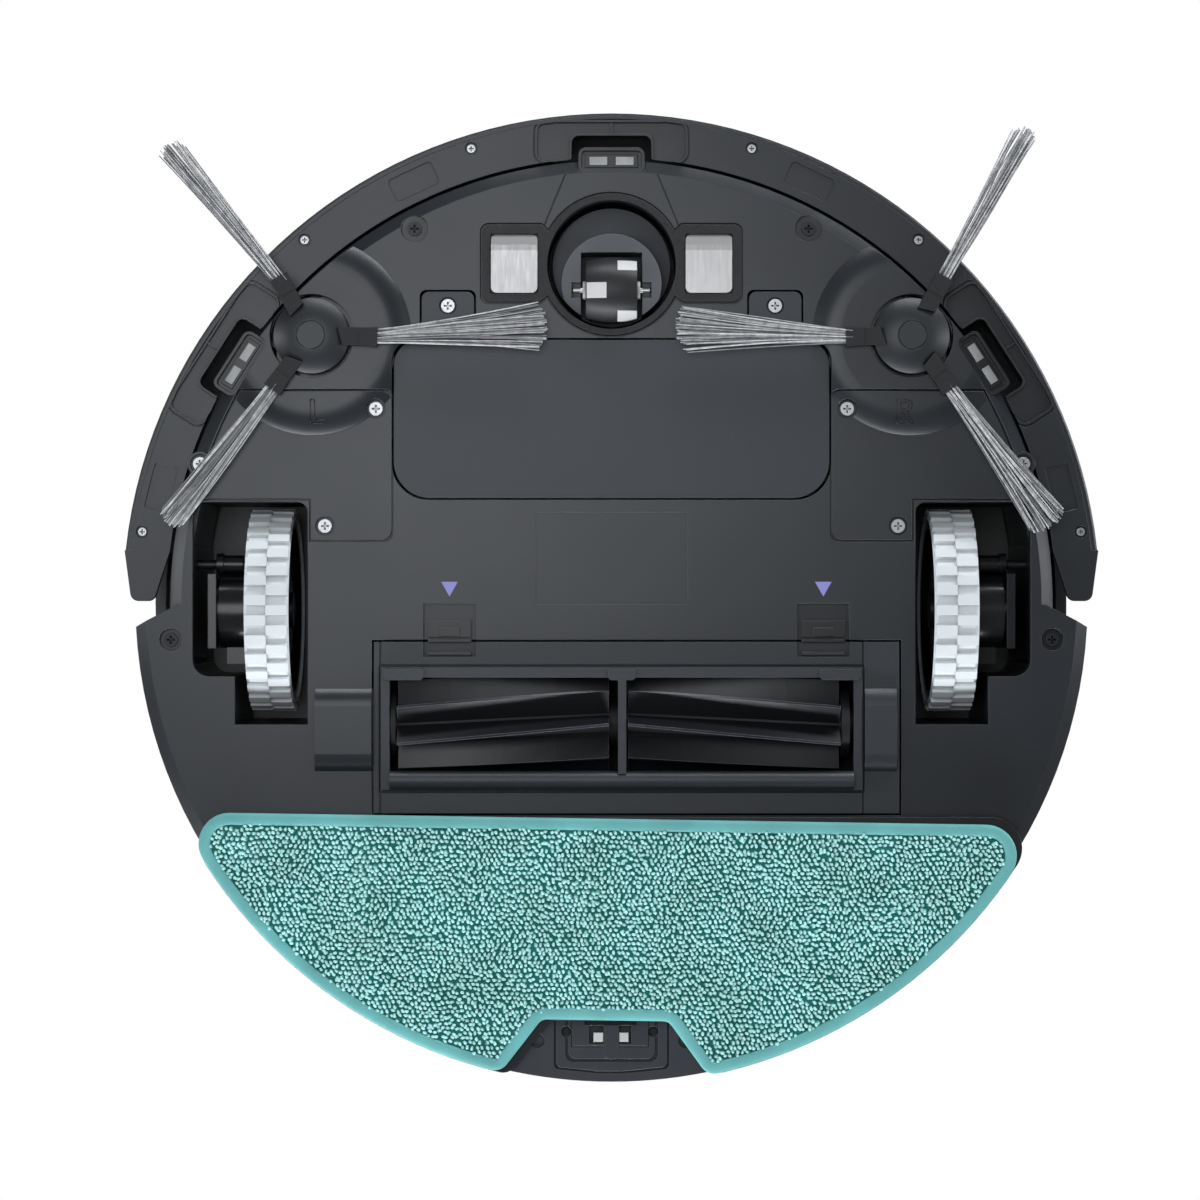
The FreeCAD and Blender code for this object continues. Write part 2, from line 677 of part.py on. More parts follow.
# ---------------------------------------------------------------- module covers, bezel, contacts
for tag, side in SIDES.items():
    plate = module_prism(f"module_plate_{tag}", side, "0", "floor_gap", "floor_gap + 2")
    holes = [screw_seat(f"module_seat_{tag}_{n}", f"{side} * {x}", y, "3.4", "floor_gap + 1.5")
             for n, (x, y) in enumerate((("hub_screw_x", "hub_screw_y"), ("well_screw_x", "well_screw_y")))]
    holes.append(rod(f"module_hub_hole_{tag}", "hub_well", "0", "floor_gap + 3", f"{side} * hub_x", "hub_y"))
    over_plate = module_prism(f"module_dome_zone_{tag}", side, "0", "0", "floor_gap + 0.2")
    dome_share = common(f"module_dome_{tag}", domes[tag], over_plate)
    keep(f"module_cover_{tag}", cut(f"module_cover_{tag}_cut", fuse(f"module_whole_{tag}", plate, dome_share),
                                    *holes))

bezel = bezel_prism("bezel_plate", "0", "floor_gap - 0.4", "floor_gap + 2")
cup = rod("cup", "socket_radius + wall", "floor_gap - 0.4", "socket_top", "0", "caster_y")
cup_bore = rod("cup_bore", "socket_radius", "0", "socket_top - 2", "0", "caster_y")
stem_bore = rod("stem_bore", "stem_radius + fit", "0", "50", "0", "caster_y")
contact_seats = [box(f"contact_seat_{tag}", (f"{side} * contact_x - contact_width / 2 - 0.2",
                                             f"{side} * contact_x + contact_width / 2 + 0.2"),
                     ("contact_y - contact_length / 2 - 0.2", "contact_y + contact_length / 2 + 0.2"),
                     ("0", "floor_gap + 1"))
                 for tag, side in SIDES.items()]
keep("caster_bezel", cut("caster_bezel_cut", fuse("bezel_blank", bezel, cup), cup_bore, stem_bore,
                         *contact_seats))

contact_points = [("contact_y - contact_length / 2", "floor_gap - 0.9"), ("127", "floor_gap - 0.9"),
                  ("contact_y + contact_length / 2", "floor_gap + 0.1"),
                  ("contact_y + contact_length / 2", "floor_gap + 1"),
                  ("contact_y - contact_length / 2", "floor_gap + 1")]
contacts = []
for tag, side in SIDES.items():
    low, high = f"{side} * contact_x - contact_width / 2", f"{side} * contact_x + contact_width / 2"
    rear, front = "contact_y - contact_length / 2", "contact_y + contact_length / 2"
    blank = prism(f"contact_outline_{tag}", [(low, rear), (high, rear), (high, front), (low, front)],
                  "floor_gap - 1", "floor_gap + 1.2")
    soften(blank, "2", upright)
    contacts.append(common(f"contact_{tag}", strip(f"contact_strip_{tag}", contact_points, low, high), blank))
compound("charging_contacts", *contacts)

# ---------------------------------------------------------------- cliff sensors
def lens_pair(name, low, turn):
    """The two lenses of a cliff sensor, from a height up to the floor of its cup."""
    panes = [box(f"{name}_{tag}", (f"{side} * lens_pitch / 2 - 3.2", f"{side} * lens_pitch / 2 + 3.2"),
                 ("cliff_radius - 1.5", "cliff_radius + 1.5"), (low, "cliff_floor"))
             for tag, side in SIDES.items()]
    return turned_copy(name, fuse(f"{name}_pair", *panes), number(turn))


housings, lenses = [], []
for index, turn in enumerate(CLIFF_TURNS):
    rim = turned_pan(f"cliff_rim_{index}", "cliff_length", "cliff_width", "2.6", "cliff_face", "lip_top",
                     "cliff_radius", turn)
    room = turned_pan(f"cliff_room_{index}", "cliff_length - 2 * cliff_wall", "cliff_width - 2 * cliff_wall",
                      "1.6", "0", "cliff_floor", "cliff_radius", turn)
    frame = turned_box(f"cliff_frame_{index}", "2 * lens_pitch", "4.6", "cliff_floor - 0.8",
                       "cliff_floor + 0.2", "cliff_radius", turn)
    holes = lens_pair(f"cliff_holes_{index}", "0", turn)
    lenses.append(lens_pair(f"cliff_eyes_{index}", "cliff_floor - 1.1", turn))
    cup = cut(f"cliff_cup_{index}", rim, room)
    housings.append(cut(f"cliff_housing_{index}", fuse(f"cliff_blank_{index}", cup, frame), holes))
compound("cliff_sensor_housings", *housings)
compound("cliff_sensor_lenses", *lenses)

# ---------------------------------------------------------------- works inside the housing
board = box("board", ("-88", "88"), ("26", "120"), ("board_base", "board_top"))
parts_on_board = [box("processor", ("-12", "12"), ("58", "82"), ("board_top", "board_top + 1.6")),
                  box("power_choke", ("34", "48"), ("40", "54"), ("board_top", "board_top + 6")),
                  box("battery_plug", ("-60", "-40"), ("34", "44"), ("board_top", "board_top + 7.4")),
                  rod("capacitor", "5", "board_top", "board_top + 11.4", "58", "86")]
keep("main_board", fuse("main_board_all", board, *parts_on_board))
fan_body = rod("fan_body", "20", "lip_top", "44", "fan_x", "fan_y")
fan_duct = box("fan_duct", ("fan_x", "-bay_half - wall"), ("-121", "-108"), ("18", "40"))
keep("suction_fan", fuse("suction_fan_all", fan_body, fan_duct,
                         rod("fan_motor", "12", "44", "52", "fan_x", "fan_y")))
gear_case = box("gear_case", ("guard_left + 0.2", "105"), ("-82", "-31"), ("floor_gap + plate", "42"))
gear_bore = rod("gear_bore", "6", "guard_left - 1", "92", y="brush_y", z="brush_z", along="x")
brush_drive = rod("brush_drive", "4", "brush_x + brush_half + 0.6", "92", y="brush_y", z="brush_z", along="x")
motor_can = rod("motor_can", "13.5", "105", "130", y="-66", z="27", along="x")
gear_cup = cut("gear_cup", fuse("gear_blank", gear_case, motor_can), gear_bore)
keep("main_brush_motor", fuse("main_brush_motor_all", gear_cup, brush_drive))
for tag, side in SIDES.items():
    hub = f"{side} * hub_x"
    case = rod(f"side_case_{tag}", "21", "floor_gap + plate", "30", f"{side} * (hub_x - 8)", "hub_y - 6")
    can = rod(f"side_can_{tag}", "9.5", "30", "56", f"{side} * (hub_x - 14)", "hub_y - 8")
    inside = rod(f"side_limit_{tag}", "pan_radius - wall - 0.3", "0", "90")
    shaft = rod(f"side_shaft_{tag}", "shaft_radius", "4.5", "floor_gap + plate + 1", hub, "hub_y")
    keep(f"side_brush_motor_{tag}", fuse(f"side_brush_motor_{tag}_all", common(f"side_body_{tag}", fuse(
        f"side_blank_{tag}", case, can), inside), shaft))

# ---------------------------------------------------------------- screws and marks
cover_spots = [(f"{side} * {x}", y) for side in (1, -1)
               for x, y in (("tab_x", "tab_screw_y"), ("hub_screw_x", "hub_screw_y"),
                            ("well_screw_x", "well_screw_y"), ("rim_screw_x", "rim_screw_y"))]
compound("cover_screws", *[screw(f"cover_screw_{n}", x, y, "floor_gap - 0.1", "2.4", "1.1", "2.1")
                           for n, (x, y) in enumerate(cover_spots)])
deep_spots = [(f"{side} * {x}", y) for side in (1, -1)
              for x, y in (("deep_screw_x", "deep_screw_y"), ("front_screw_x", "front_screw_y"))]
compound("chassis_screws", *[screw(f"chassis_screw_{n}", x, y, "floor_gap + 0.8", "2.5", "1.1", "2.6", 1.2)
                             for n, (x, y) in enumerate(deep_spots)])
marks = []
for tag in ("left", "right"):
    x = f"latch_{tag}"
    marks.append(prism(f"mark_{tag}", [(f"{x} - 3", "7.2"), (x, "1.9"), (f"{x} + 3", "7.2")],
                       "floor_gap - 0.08", "floor_gap"))
compound("latch_marks", *marks)

# ---------------------------------------------------------------- laser turret
turret_floor = lathe("turret_floor", [("8", "cover_top"), ("turret_radius + 2.5", "cover_top"),
                                      ("turret_radius", "turret_base"), ("turret_radius - 3", "turret_base"),
                                      ("turret_radius - 3", "cover_top + 1.6"), ("8", "cover_top + 1.6")],
                     "0", "turret_y")
posts = [rod(f"turret_post_{n}", "1.8", "cover_top + 1.6", "turret_cap",
             f"(turret_radius - 3.4) * cos({angle})", f"turret_y + (turret_radius - 3.4) * sin({angle})")
         for n, angle in enumerate(("40", "140", "220", "320"))]
keep("lidar_base", fuse("lidar_base_all", turret_floor, *posts))
cap = lathe("cap", [("0", "turret_cap"), ("turret_radius", "turret_cap"),
                    ("turret_radius", "turret_top - 1.6"),
                    ("turret_radius - 2", "turret_top"), ("0", "turret_top")], "0", "turret_y")
keep("lidar_cap", cap)
drum = lathe("drum", [("0", "cover_top + 2.2"), ("31", "cover_top + 2.2"), ("31", "turret_cap - 0.8"),
                      ("0", "turret_cap - 0.8")], "0", "turret_y")
drum_cuts = [box("drum_eye", ("-9", "-1"), ("turret_y + 26", "turret_y + 34"), ("85", "91")),
             box("drum_eye_two", ("4", "12"), ("turret_y + 26", "turret_y + 34"), ("85", "91"))]
spindle = rod("spindle", "5.6", "cover_plate - 4", "cover_top + 2.2", "0", "turret_y")
keep("lidar_rotor", fuse("lidar_rotor_all", cut("drum_cut", drum, *drum_cuts), spindle))

# ---------------------------------------------------------------- wheel housings
for tag, side in SIDES.items():
    outer = well_prism(f"housing_{tag}_outer", side, "1.6", "floor_gap + plate", "cover_plate")
    inner = well_prism(f"housing_{tag}_inner", side, "0", "floor_gap + plate", "cover_plate - 1.6")
    rim_cut = rod(f"housing_{tag}_limit", "pan_radius - 2.6", "0", "90")
    shell = common(f"housing_{tag}_shell", cut(f"housing_{tag}_hull", outer, inner), rim_cut)
    pivot = rod(f"pivot_{tag}", "pivot_radius", *span(side, "131.6", "well_outer + 0.5"), y="pivot_y",
                z="pivot_z", along="x")
    keep(f"wheel_housing_{tag}", fuse(f"wheel_housing_{tag}_all", shell, pivot))

# ---------------------------------------------------------------- bumper
skin = lathe("skin", [("bumper_radius - 2.4", "bumper_base"), ("bumper_radius - 1", "bumper_base"),
                      ("bumper_radius", "bumper_base + 3"), ("bumper_radius", "bumper_top - 3"),
                      ("bumper_radius - 1", "bumper_top"), ("bumper_radius - 12", "bumper_top"),
                      ("bumper_radius - 12", "bumper_top - 2.4"),
                      ("bumper_radius - 2.4", "bumper_top - 2.4")])
skin_zone = box("skin_zone", ("-180", "180"), ("bumper_tail", "180"), ("0", "100"))
pane_points = [("bumper_radius - 1.2", "window_low"), ("bumper_radius", "window_low"),
               ("bumper_radius", "window_high"), ("bumper_radius - 1.2", "window_high")]
pane_seat = place(lathe("pane_seat", pane_points, angle=140), angle=90)
keep("bumper_shell", cut("bumper_shell_cut", common("bumper_skin", skin, skin_zone), pane_seat))
keep("bumper_window", place(lathe("pane", pane_points, angle=140), angle=90))

ring = lathe("skirt_ring", [("skirt_radius", "bumper_base"), ("bumper_radius - 2.4", "bumper_base"),
                            ("bumper_radius - 2.4", "bumper_base + skirt_thick"),
                            ("skirt_radius", "bumper_base + skirt_thick")])
skirt_parts = [common("skirt_arc", ring, skin_zone)]
skirt_cuts = []
for tag, side in SIDES.items():
    tail_points = [("bumper_radius - 1", "bumper_tail"), ("skirt_radius - 1.1", "bumper_tail"),
                   ("163.6", "0.3"), ("171.6", "0.3")]
    tail = prism(f"skirt_tail_{tag}", side_points(side, tail_points), "bumper_base",
                 "bumper_base + skirt_thick")
    soften(tail, "3", either(near(f"{side} * 163.6", "0.3"), near(f"{side} * 171.6", "0.3")))
    skirt_parts.append(tail)
rib_ring = common("rib_ring", rod("rib_outer", "bumper_radius - 2.4", "bumper_base", "recess_floor + 0.2"),
                  box("rib_front", ("-180", "180"), ("bumper_tail", "180"), ("0", "100")))
rib_zone = cut("rib_zone", rib_ring, rod("rib_inner", "skirt_radius", "0", "40"))
# Each recess round a cliff sensor: its length, width, corner radius and distance from the axis.
RECESSES = {"step": ("53", "14", "3.4", "164.4"), "notch": ("28.5", "12", "2.6", "160.6")}


def recess(kind, edge, index, turn, grow, high):
    """A recess's outline grown all round by an amount, from below the skirt up to a height."""
    length, width, corner, radius = RECESSES[kind]
    return turned_pan(f"{kind}_{edge}_{index}", f"{length} + 2 * {grow}", f"{width} + 2 * {grow}",
                      f"{corner} + {grow}", "0", high, radius, turn)


ribs, notch_rooms = [], []
for index, turn in enumerate(CLIFF_TURNS):
    step_room = recess("step", "room", index, turn, "0", "recess_floor")
    notch_room = recess("notch", "room", index, turn, "0", "40")
    notch_rooms.append(notch_room)
    notch_outer = recess("notch", "wall", index, turn, "rib", "recess_floor")
    ribs.append(common(f"notch_rib_{index}", cut(f"notch_wall_{index}", notch_outer, notch_room), rib_zone))
    skirt_cuts.append(step_room)
    moat_outer = recess("step", "moat", index, turn, "(rib + moat)", "bumper_base + 0.9")
    skirt_cuts.append(cut(f"moat_{index}", moat_outer, recess("step", "rim", index, turn, "rib", "40")))
    ribs.append(turned_box(f"brace_{index}", "rib", "4.4", "bumper_base + 0.3", "recess_floor + 0.2", "169.2",
                           turn))
for index, turn in enumerate(("25.2", "-25.2", "75.8", "-75.8")):
    skirt_cuts.append(turned_pan(f"pad_{index}", "17", "8.5", "1.5", "0", "bumper_base + 0.5", "166", turn))
bumper_spots = [polar("169.6", turn) for turn in ("17.2", "-17.2", "40.3", "-40.3", "81.5", "-81.5")]
for index, (x, y) in enumerate(bumper_spots):
    skirt_cuts.append(screw_seat(f"bumper_seat_{index}", x, y, "2.2", "bumper_base + 1.2", "0.85"))
skirt_hull = cut("skirt_hull", fuse("skirt_blank", *skirt_parts), *skirt_cuts)
notch_cuts = fuse("notch_cuts", *notch_rooms)
keep("bumper_skirt", cut("bumper_skirt_cut", fuse("bumper_skirt_all", skirt_hull, *ribs), notch_cuts))
compound("bumper_screws", *[screw(f"bumper_screw_{n}", x, y, "bumper_base + 0.4", "1.5", "0.8", "1.8", 0.8)
                            for n, (x, y) in enumerate(bumper_spots)])

# ---------------------------------------------------------------- side brushes
for tag, side in SIDES.items():
    hub_at = (f"{side} * hub_x", "hub_y")
    hub = lathe(f"hub_{tag}", [("0", "1.9"), ("4.8", "1.9"), ("4.8", "2.3"), ("5.2", "2.3"),
                               ("5.2", "1.95", "17", 1),
                               ("hub_radius", "5.4"), ("hub_radius", "11.6"), ("shaft_radius + fit", "11.6"),
                               ("shaft_radius + fit", "4.3"), ("0", "4.3")], *hub_at)
    keep(f"side_brush_hub_{tag}", hub)
    arms, tufts = [], []
    for index, (turn, tip) in enumerate(((-29, "5.2"), (91.5, "8"), (215.5, "5.4"))):
        strap = prism(f"strap_{tag}_{index}", [("3.1", "9.4"), ("3.1", "arm_reach - 1"),
                                               ("-3.1", "arm_reach - 1"),
                                               ("-3.1", "11.2")], "2.5", "5.3")
        clamp = prism(f"clamp_{tag}_{index}", [("3", "clamp_start"), ("3.4", "arm_reach"),
                                               ("-3.4", "arm_reach"),
                                               ("-3", "clamp_start")], "2.2", "5.5")
        arm = fuse(f"arm_{tag}_{index}", strap, clamp)
        tuft = prism(f"tuft_{tag}_{index}", [("1.9", "arm_reach + 0.05"), (tip, "bristle_reach - 3"),
                                             (f"{tip} * 0.6", "bristle_reach"),
                                             (f"-{tip} * 0.6", "bristle_reach"),
                                             (f"-{tip}", "bristle_reach - 3"), ("-1.9", "arm_reach + 0.05")],
                     "0.5", "4.4")
        arms.append(turned_copy(f"arm_{tag}_{index}_set", arm, side * turn, *hub_at))
        tufts.append(turned_copy(f"tuft_{tag}_{index}_set", tuft, side * turn, *hub_at))
    keep(f"side_brush_arms_{tag}", cut(f"arms_{tag}_cut", fuse(f"arms_{tag}", *arms), hub))
    compound(f"side_brush_bristles_{tag}", *tufts)

# ---------------------------------------------------------------- caster
caster_y = "caster_y - caster_trail"
swivel = lathe("swivel", [("0", "14.5"), ("21", "19.5"), ("21", "34"), ("stem_radius", "34"),
                          ("stem_radius", "socket_top"), ("0", "socket_top")], "0", "caster_y")
fork = common("fork", rod("fork_disc", "17.8", "10.2", "24", "0", "caster_y - 6.8"),
              rod("fork_limit", "21", "0", "40", "0", "caster_y"))
slot = box("roller_slot", ("-10.9", "10.9"), ("caster_y - 24", f"{caster_y} + 13.4"), ("0", "26.6"))
pin_channel = box("pin_channel", ("-14.2", "14.2"), (f"{caster_y} - 2.8", f"{caster_y} + 2.8"),
                  ("0", "roller_radius"))
pin_bore = rod("pin_bore", "pin_radius", "-14.2", "14.2", y=caster_y, z="roller_radius", along="x")
keep("caster_swivel", cut("caster_swivel_cut", fuse("swivel_blank", swivel, fork), slot, pin_channel,
                          pin_bore))
keep("caster_axle", rod("caster_pin", "pin_radius", "-13.7", "13.7", y=caster_y, z="roller_radius",
                        along="x"))


def barrel(name, shrink):
    edge, half = f"roller_radius - 1.8 - {shrink}", f"roller_half - {shrink}"
    return lathe(name, [("pin_radius + fit", f"-({half})"), (edge, f"-({half})", f"29.8 - {shrink}", 1),
                        (edge, half),
                        ("pin_radius + fit", half)], "0", caster_y, "roller_radius", "x")


roller = barrel("roller", "0")
patches = [box("patch_middle", ("1.8", "8.8"), (f"{caster_y} - 3.6", f"{caster_y} + 1.9"), ("-1", "6")),
           box("patch_front", ("-9", "-2.1"), (f"{caster_y} + 6.3", f"{caster_y} + 10.1"), ("-1", "11")),
           box("patch_rear", ("-9", "-2.1"), (f"{caster_y} - 11.3", f"{caster_y} - 7.8"), ("-1", "11"))]
roller_skin = cut("roller_skin", roller, barrel("roller_core", "0.4"))
patch_set = common("patch_set", roller_skin, fuse("patch_boxes", *patches))
bushes = [cut(f"bush_{tag}", rod(f"bush_{tag}_blank", "3.3", *span(side, "roller_half", "10.2"), y=caster_y,
                                 z="roller_radius", along="x"),
              rod(f"bush_{tag}_bore", "pin_radius + fit", "-20", "20", y=caster_y, z="roller_radius",
                  along="x"))
          for tag, side in SIDES.items()]
keep("caster_wheel", cut("caster_wheel_cut", roller, patch_set))
compound("caster_marks", patch_set, *bushes)

# ---------------------------------------------------------------- drive wheels
def tread_row(body, name, low, high, turn):
    """A row of blocks round a tyre, the first turned by an angle from the tyre's X axis."""
    origin = next(f for f in body.Origin.OriginFeatures if f.Role == "YZ_Plane")
    axis = next(f for f in body.Origin.OriginFeatures if f.Role == "Z_Axis")
    block = body.newObject("Sketcher::SketchObject", name)
    block.AttachmentSupport = [(origin, "")]
    block.MapMode = "FlatFace"
    tilt = Rotation(Vector(0, 1, 0), turn)
    block.AttachmentOffset = Placement(tilt.multVec(Vector(0, 0, number("wheel_radius - 2.6"))), tilt)
    half = "wheel_radius * pi / tread_blocks * 0.5"
    corners = [(f"-({half})", low), (half, low), (half, high), (f"-({half})", high)]
    spots = [Vector(number(u), number(v), 0) for u, v in corners]
    for index, (u, v) in enumerate(corners):
        block.addGeometry(Part.LineSegment(spots[index], spots[(index + 1) % 4]), False)
    for index, (u, v) in enumerate(corners):
        block.addConstraint(Sketcher.Constraint("Coincident", (index - 1) % 4, 2, index, 1))
        pin_point(block, index, 1, "X", u)
        pin_point(block, index, 1, "Y", v)
    pad = body.newObject("PartDesign::Pad", name + "_pad")
    pad.Profile = block
    bind(pad, Length="2.6")
    doc.recompute()
    row = body.newObject("PartDesign::PolarPattern", name + "_pattern")
    row.Originals = [pad]
    row.Axis = (axis, [""])
    row.Angle = 360
    bind(row, Occurrences="tread_blocks")
    body.Tip = row
    doc.recompute()


for tag, side in SIDES.items():
    along = "x" if side > 0 else "-x"
    arm_parts = [rod(f"drum_{tag}", "13.3", *span(side, "arm_near", "arm_far - 1.2"), y="arm_axis_y",
                     z="arm_axis_z", along="x"),
                 rod(f"drum_step_{tag}", "11.8", *span(side, "arm_near", "arm_far"), y="arm_axis_y",
                     z="arm_axis_z", along="x"),
                 box(f"end_plate_{tag}", span(side, "arm_far - 0.6", "144"), ("arm_rear", "arm_front"),
                     ("13", "46")),
                 box(f"arm_case_{tag}", span(side, "arm_near", "arm_far"), ("arm_rear", "arm_front"),
                     ("27", "46")),
                 box(f"rear_lug_{tag}", span(side, "arm_near", "138.4"), ("arm_rear - 5.8", "-12"),
                     ("24", "36")),
                 rod(f"arm_eye_{tag}", "3.4", *span(side, "132.4", "142"), y="pivot_y", z="pivot_z",
                     along="x"),
                 rod(f"arm_collar_{tag}", "4.1", *span(side, "139.4", "142"), y="pivot_y", z="pivot_z",
                     along="x"),
                 box(f"arm_web_{tag}", span(side, "132.4", "142"), ("6", "pivot_y"),
                     ("pivot_z", "pivot_z + 6")),
                 rod(f"drive_axle_{tag}", "axle_radius", *span(side, "wheel_x - 3.6", "132"), y="wheel_y",
                     z="wheel_radius", along="x")]
    eye_bore = rod(f"eye_bore_{tag}", "pivot_radius + fit", *span(side, "120", "160"), y="pivot_y",
                   z="pivot_z", along="x")
    keep(f"drive_gearbox_{tag}", cut(f"drive_gearbox_{tag}_cut", fuse(f"gearbox_{tag}_all", *arm_parts),
                                     eye_bore))

    rim = lathe(f"rim_{tag}", [("0", "-6.8"), ("6.4", "-6.8"), ("6.4", "-5"), ("26.5", "-5"),
                               ("hub_disc", "-7"),
                               ("33.2", "-7"), ("33.2", "7"), ("hub_disc", "7"), ("27", "3"), ("9", "3"),
                               ("9", "7.6"),
                               ("axle_radius + fit", "7.6"), ("axle_radius + fit", "-3.8"), ("0", "-3.8")],
                f"{side} * wheel_x", "wheel_y", "wheel_radius", along)
    keep(f"wheel_rim_{tag}", rim)

    tyre = lathe(f"tyre_{tag}_solid", [("33.2", "-wheel_half"), ("34", "-wheel_half"),
                                       ("wheel_radius - tread_depth", "-wheel_half + 1"),
                                       ("wheel_radius - tread_depth", "wheel_half - 1"), ("34", "wheel_half"),
                                       ("33.2", "wheel_half")],
                 f"{side} * wheel_x", "wheel_y", "wheel_radius", along)
    tread_row(tyre, f"tread_{tag}_inner", "-wheel_half + 0.3", "0", 0)
    tread_row(tyre, f"tread_{tag}_outer", "0", "wheel_half - 0.3", 180 / number("tread_blocks"))
    keep(f"tyre_{tag}", tyre)

# ---------------------------------------------------------------- main brush
core = lathe("core", [("0", "-94.5"), ("3", "-94.5"), ("3", "-85.6"), ("7", "-85.6"),
                      ("7", "-brush_half - 3.6"),
                      ("12.5", "-brush_half - 3.6"), ("12.5", "-brush_half - 0.6"),
                      ("core_radius", "-brush_half - 0.6"),
                      ("core_radius", "brush_half + 0.6"), ("12.5", "brush_half + 0.6"),
                      ("12.5", "brush_half + 2.4"),
                      ("4 + fit", "brush_half + 2.4"), ("4 + fit", "brush_half - 2"),
                      ("0", "brush_half - 2")],
             "brush_x", "brush_y", "brush_z", "x")
keep("brush_core", core)


def blade(name, angle, side):
    """One soft blade, twisted back from the middle of the brush to its end."""
    reach, root = number("brush_radius"), number("core_radius") - 0.4
    wires = []
    for step in range(5):
        along = number("brush_gap") + (number("brush_half") - number("brush_gap")) * step / 4
        turn = math.radians(angle + number("blade_twist") * step / 4)
        radial = Vector(0, -math.sin(turn), -math.cos(turn))
        across = Vector(0, math.cos(turn), -math.sin(turn))
        middle = Vector(number("brush_x") + side * along, number("brush_y"), number("brush_z"))
        section = ((root, 3.1), (reach, 0.45), (reach, -0.45), (root, -3.1))
        ring_points = [middle + radial * height + across * width for height, width in section]
        wires.append(Part.makePolygon(ring_points + ring_points[:1]))
    return Part.makeLoft(wires, True, True)


blade_step = 360 / number("blades")
blade_set = [blade(f"blade_{n}", n * blade_step, side) for side in (1, -1)
             for n in range(int(number("blades")))]
core_hull = Part.makeCylinder(number("core_radius"), 200, Vector(-100, number("brush_y"), number("brush_z")),
                              Vector(1, 0, 0))
shape_node("brush_blades", Part.makeCompound([piece.cut(core_hull) for piece in blade_set]))

# ---------------------------------------------------------------- brush guard and its latches
guard_plate = box("guard_plate", ("guard_right", "guard_left"), ("guard_rear", "guard_front"),
                  ("floor_gap", "floor_gap + 3"))
frame = box("guard_frame", ("mouth_right", "mouth_left"), ("mouth_rear + 0.5", "mouth_front"),
            ("7.4", "floor_gap + 3"))
block_right = rounded_block("guard_block", "-101.3", "-89.6")
window = box("guard_window", ("mouth_right + 3", "mouth_left - 3"), ("-60.6", "-26.4"), ("0", "20"))
frame_outer = box("frame_outer", ("mouth_right - 0.9", "mouth_left + 0.9"),
                  ("mouth_rear - 0.6", "mouth_front + 0.9"), ("0", "floor_gap + 1.8"))
frame_inner = box("frame_inner", ("mouth_right", "mouth_left"), ("mouth_rear + 0.3", "mouth_front"),
                  ("0", "20"))
frame_moat = cut("frame_moat", frame_outer, frame_inner)
side_lines = [box(f"guard_line_{name}", (low, high), ("guard_rear - 1", "guard_front + 1"),
                  ("0", "floor_gap + 0.9"))
              for name, low, high in (("left", "mouth_left", "mouth_left + 0.7"),
                                      ("right", "mouth_right - 0.7", "mouth_right"))]
rear_bar = rod("rear_bar", "3.4", "mouth_right + 3", "mouth_left - 3", y="-63.4", z="8.6", along="x")
front_rail = box("front_rail", ("mouth_right + 3", "mouth_left - 3"), ("-26.8", "mouth_front"),
                 ("6.4", "floor_gap + 2"))
guard_solids = [cut("guard_holed", fuse("guard_blank", guard_plate, frame, block_right), window, frame_moat,
                    *side_lines), rear_bar, front_rail,
                box("centre_bar", ("-5.2", "-2.3"), ("-61", "-26"), ("5.6", "10.2"))]
for name, low, high in (("left", "66.6", "81.2"), ("middle", "-8.7", "1.4"), ("right", "-88.4", "-73.8")):
    rest = prism(f"rail_rest_{name}", [(high, "-23.8"), (low, "-23.8"), (low, "-27.7"), (high, "-27.7")],
                 "5.7", "8")
    guard_solids.append(soften(rest, "1", lambda e: upright(e) and e.Vertexes[0].Y < -27, "Chamfer"))
for tag in ("left", "right"):
    guard_solids.append(box(f"latch_bar_{tag}", (f"latch_{tag} - 7.7", f"latch_{tag} + 7.7"),
                            ("-18.9", "-17.7"),
                            ("floor_gap + 0.5", "floor_gap + 2.2")))
latch_wells = [box(f"guard_latch_well_{tag}", (f"latch_{tag} - latch_half", f"latch_{tag} + latch_half"),
                   ("-19.5", "guard_front + 1"), ("0", "floor_gap + 2")) for tag in ("left", "right")]
keep("brush_guard", fuse("brush_guard_all", cut("guard_latched", guard_solids[0], *latch_wells),
                         *guard_solids[1:]))
for tag in ("left", "right"):
    x = f"latch_{tag}"
    plate = box(f"latch_plate_{tag}", (f"{x} - 7.7", f"{x} + 7.7"), ("-12.6", "-6.6"),
                ("floor_gap + 0.5", "floor_gap + 1.9"))
    tongue = box(f"latch_tongue_{tag}", (f"{x} - 7", f"{x} + 7"), ("-13.4", "-12.6"),
                 ("floor_gap + 1.3", "floor_gap + 1.9"))
    ridge = box(f"latch_ridge_{tag}", (f"{x} - 7.7", f"{x} + 7.7"), ("-14.3", "-13.2"),
                ("floor_gap + 0.3", "floor_gap + 1.9"))
    grip = box(f"latch_grip_{tag}", (f"{x} - 3.6", f"{x} + 3.6"), ("-12.2", "-9.2"),
               ("floor_gap", "floor_gap + 1"))
    keep(f"brush_latch_{tag}", fuse(f"brush_latch_{tag}_all", plate, tongue, ridge, grip))

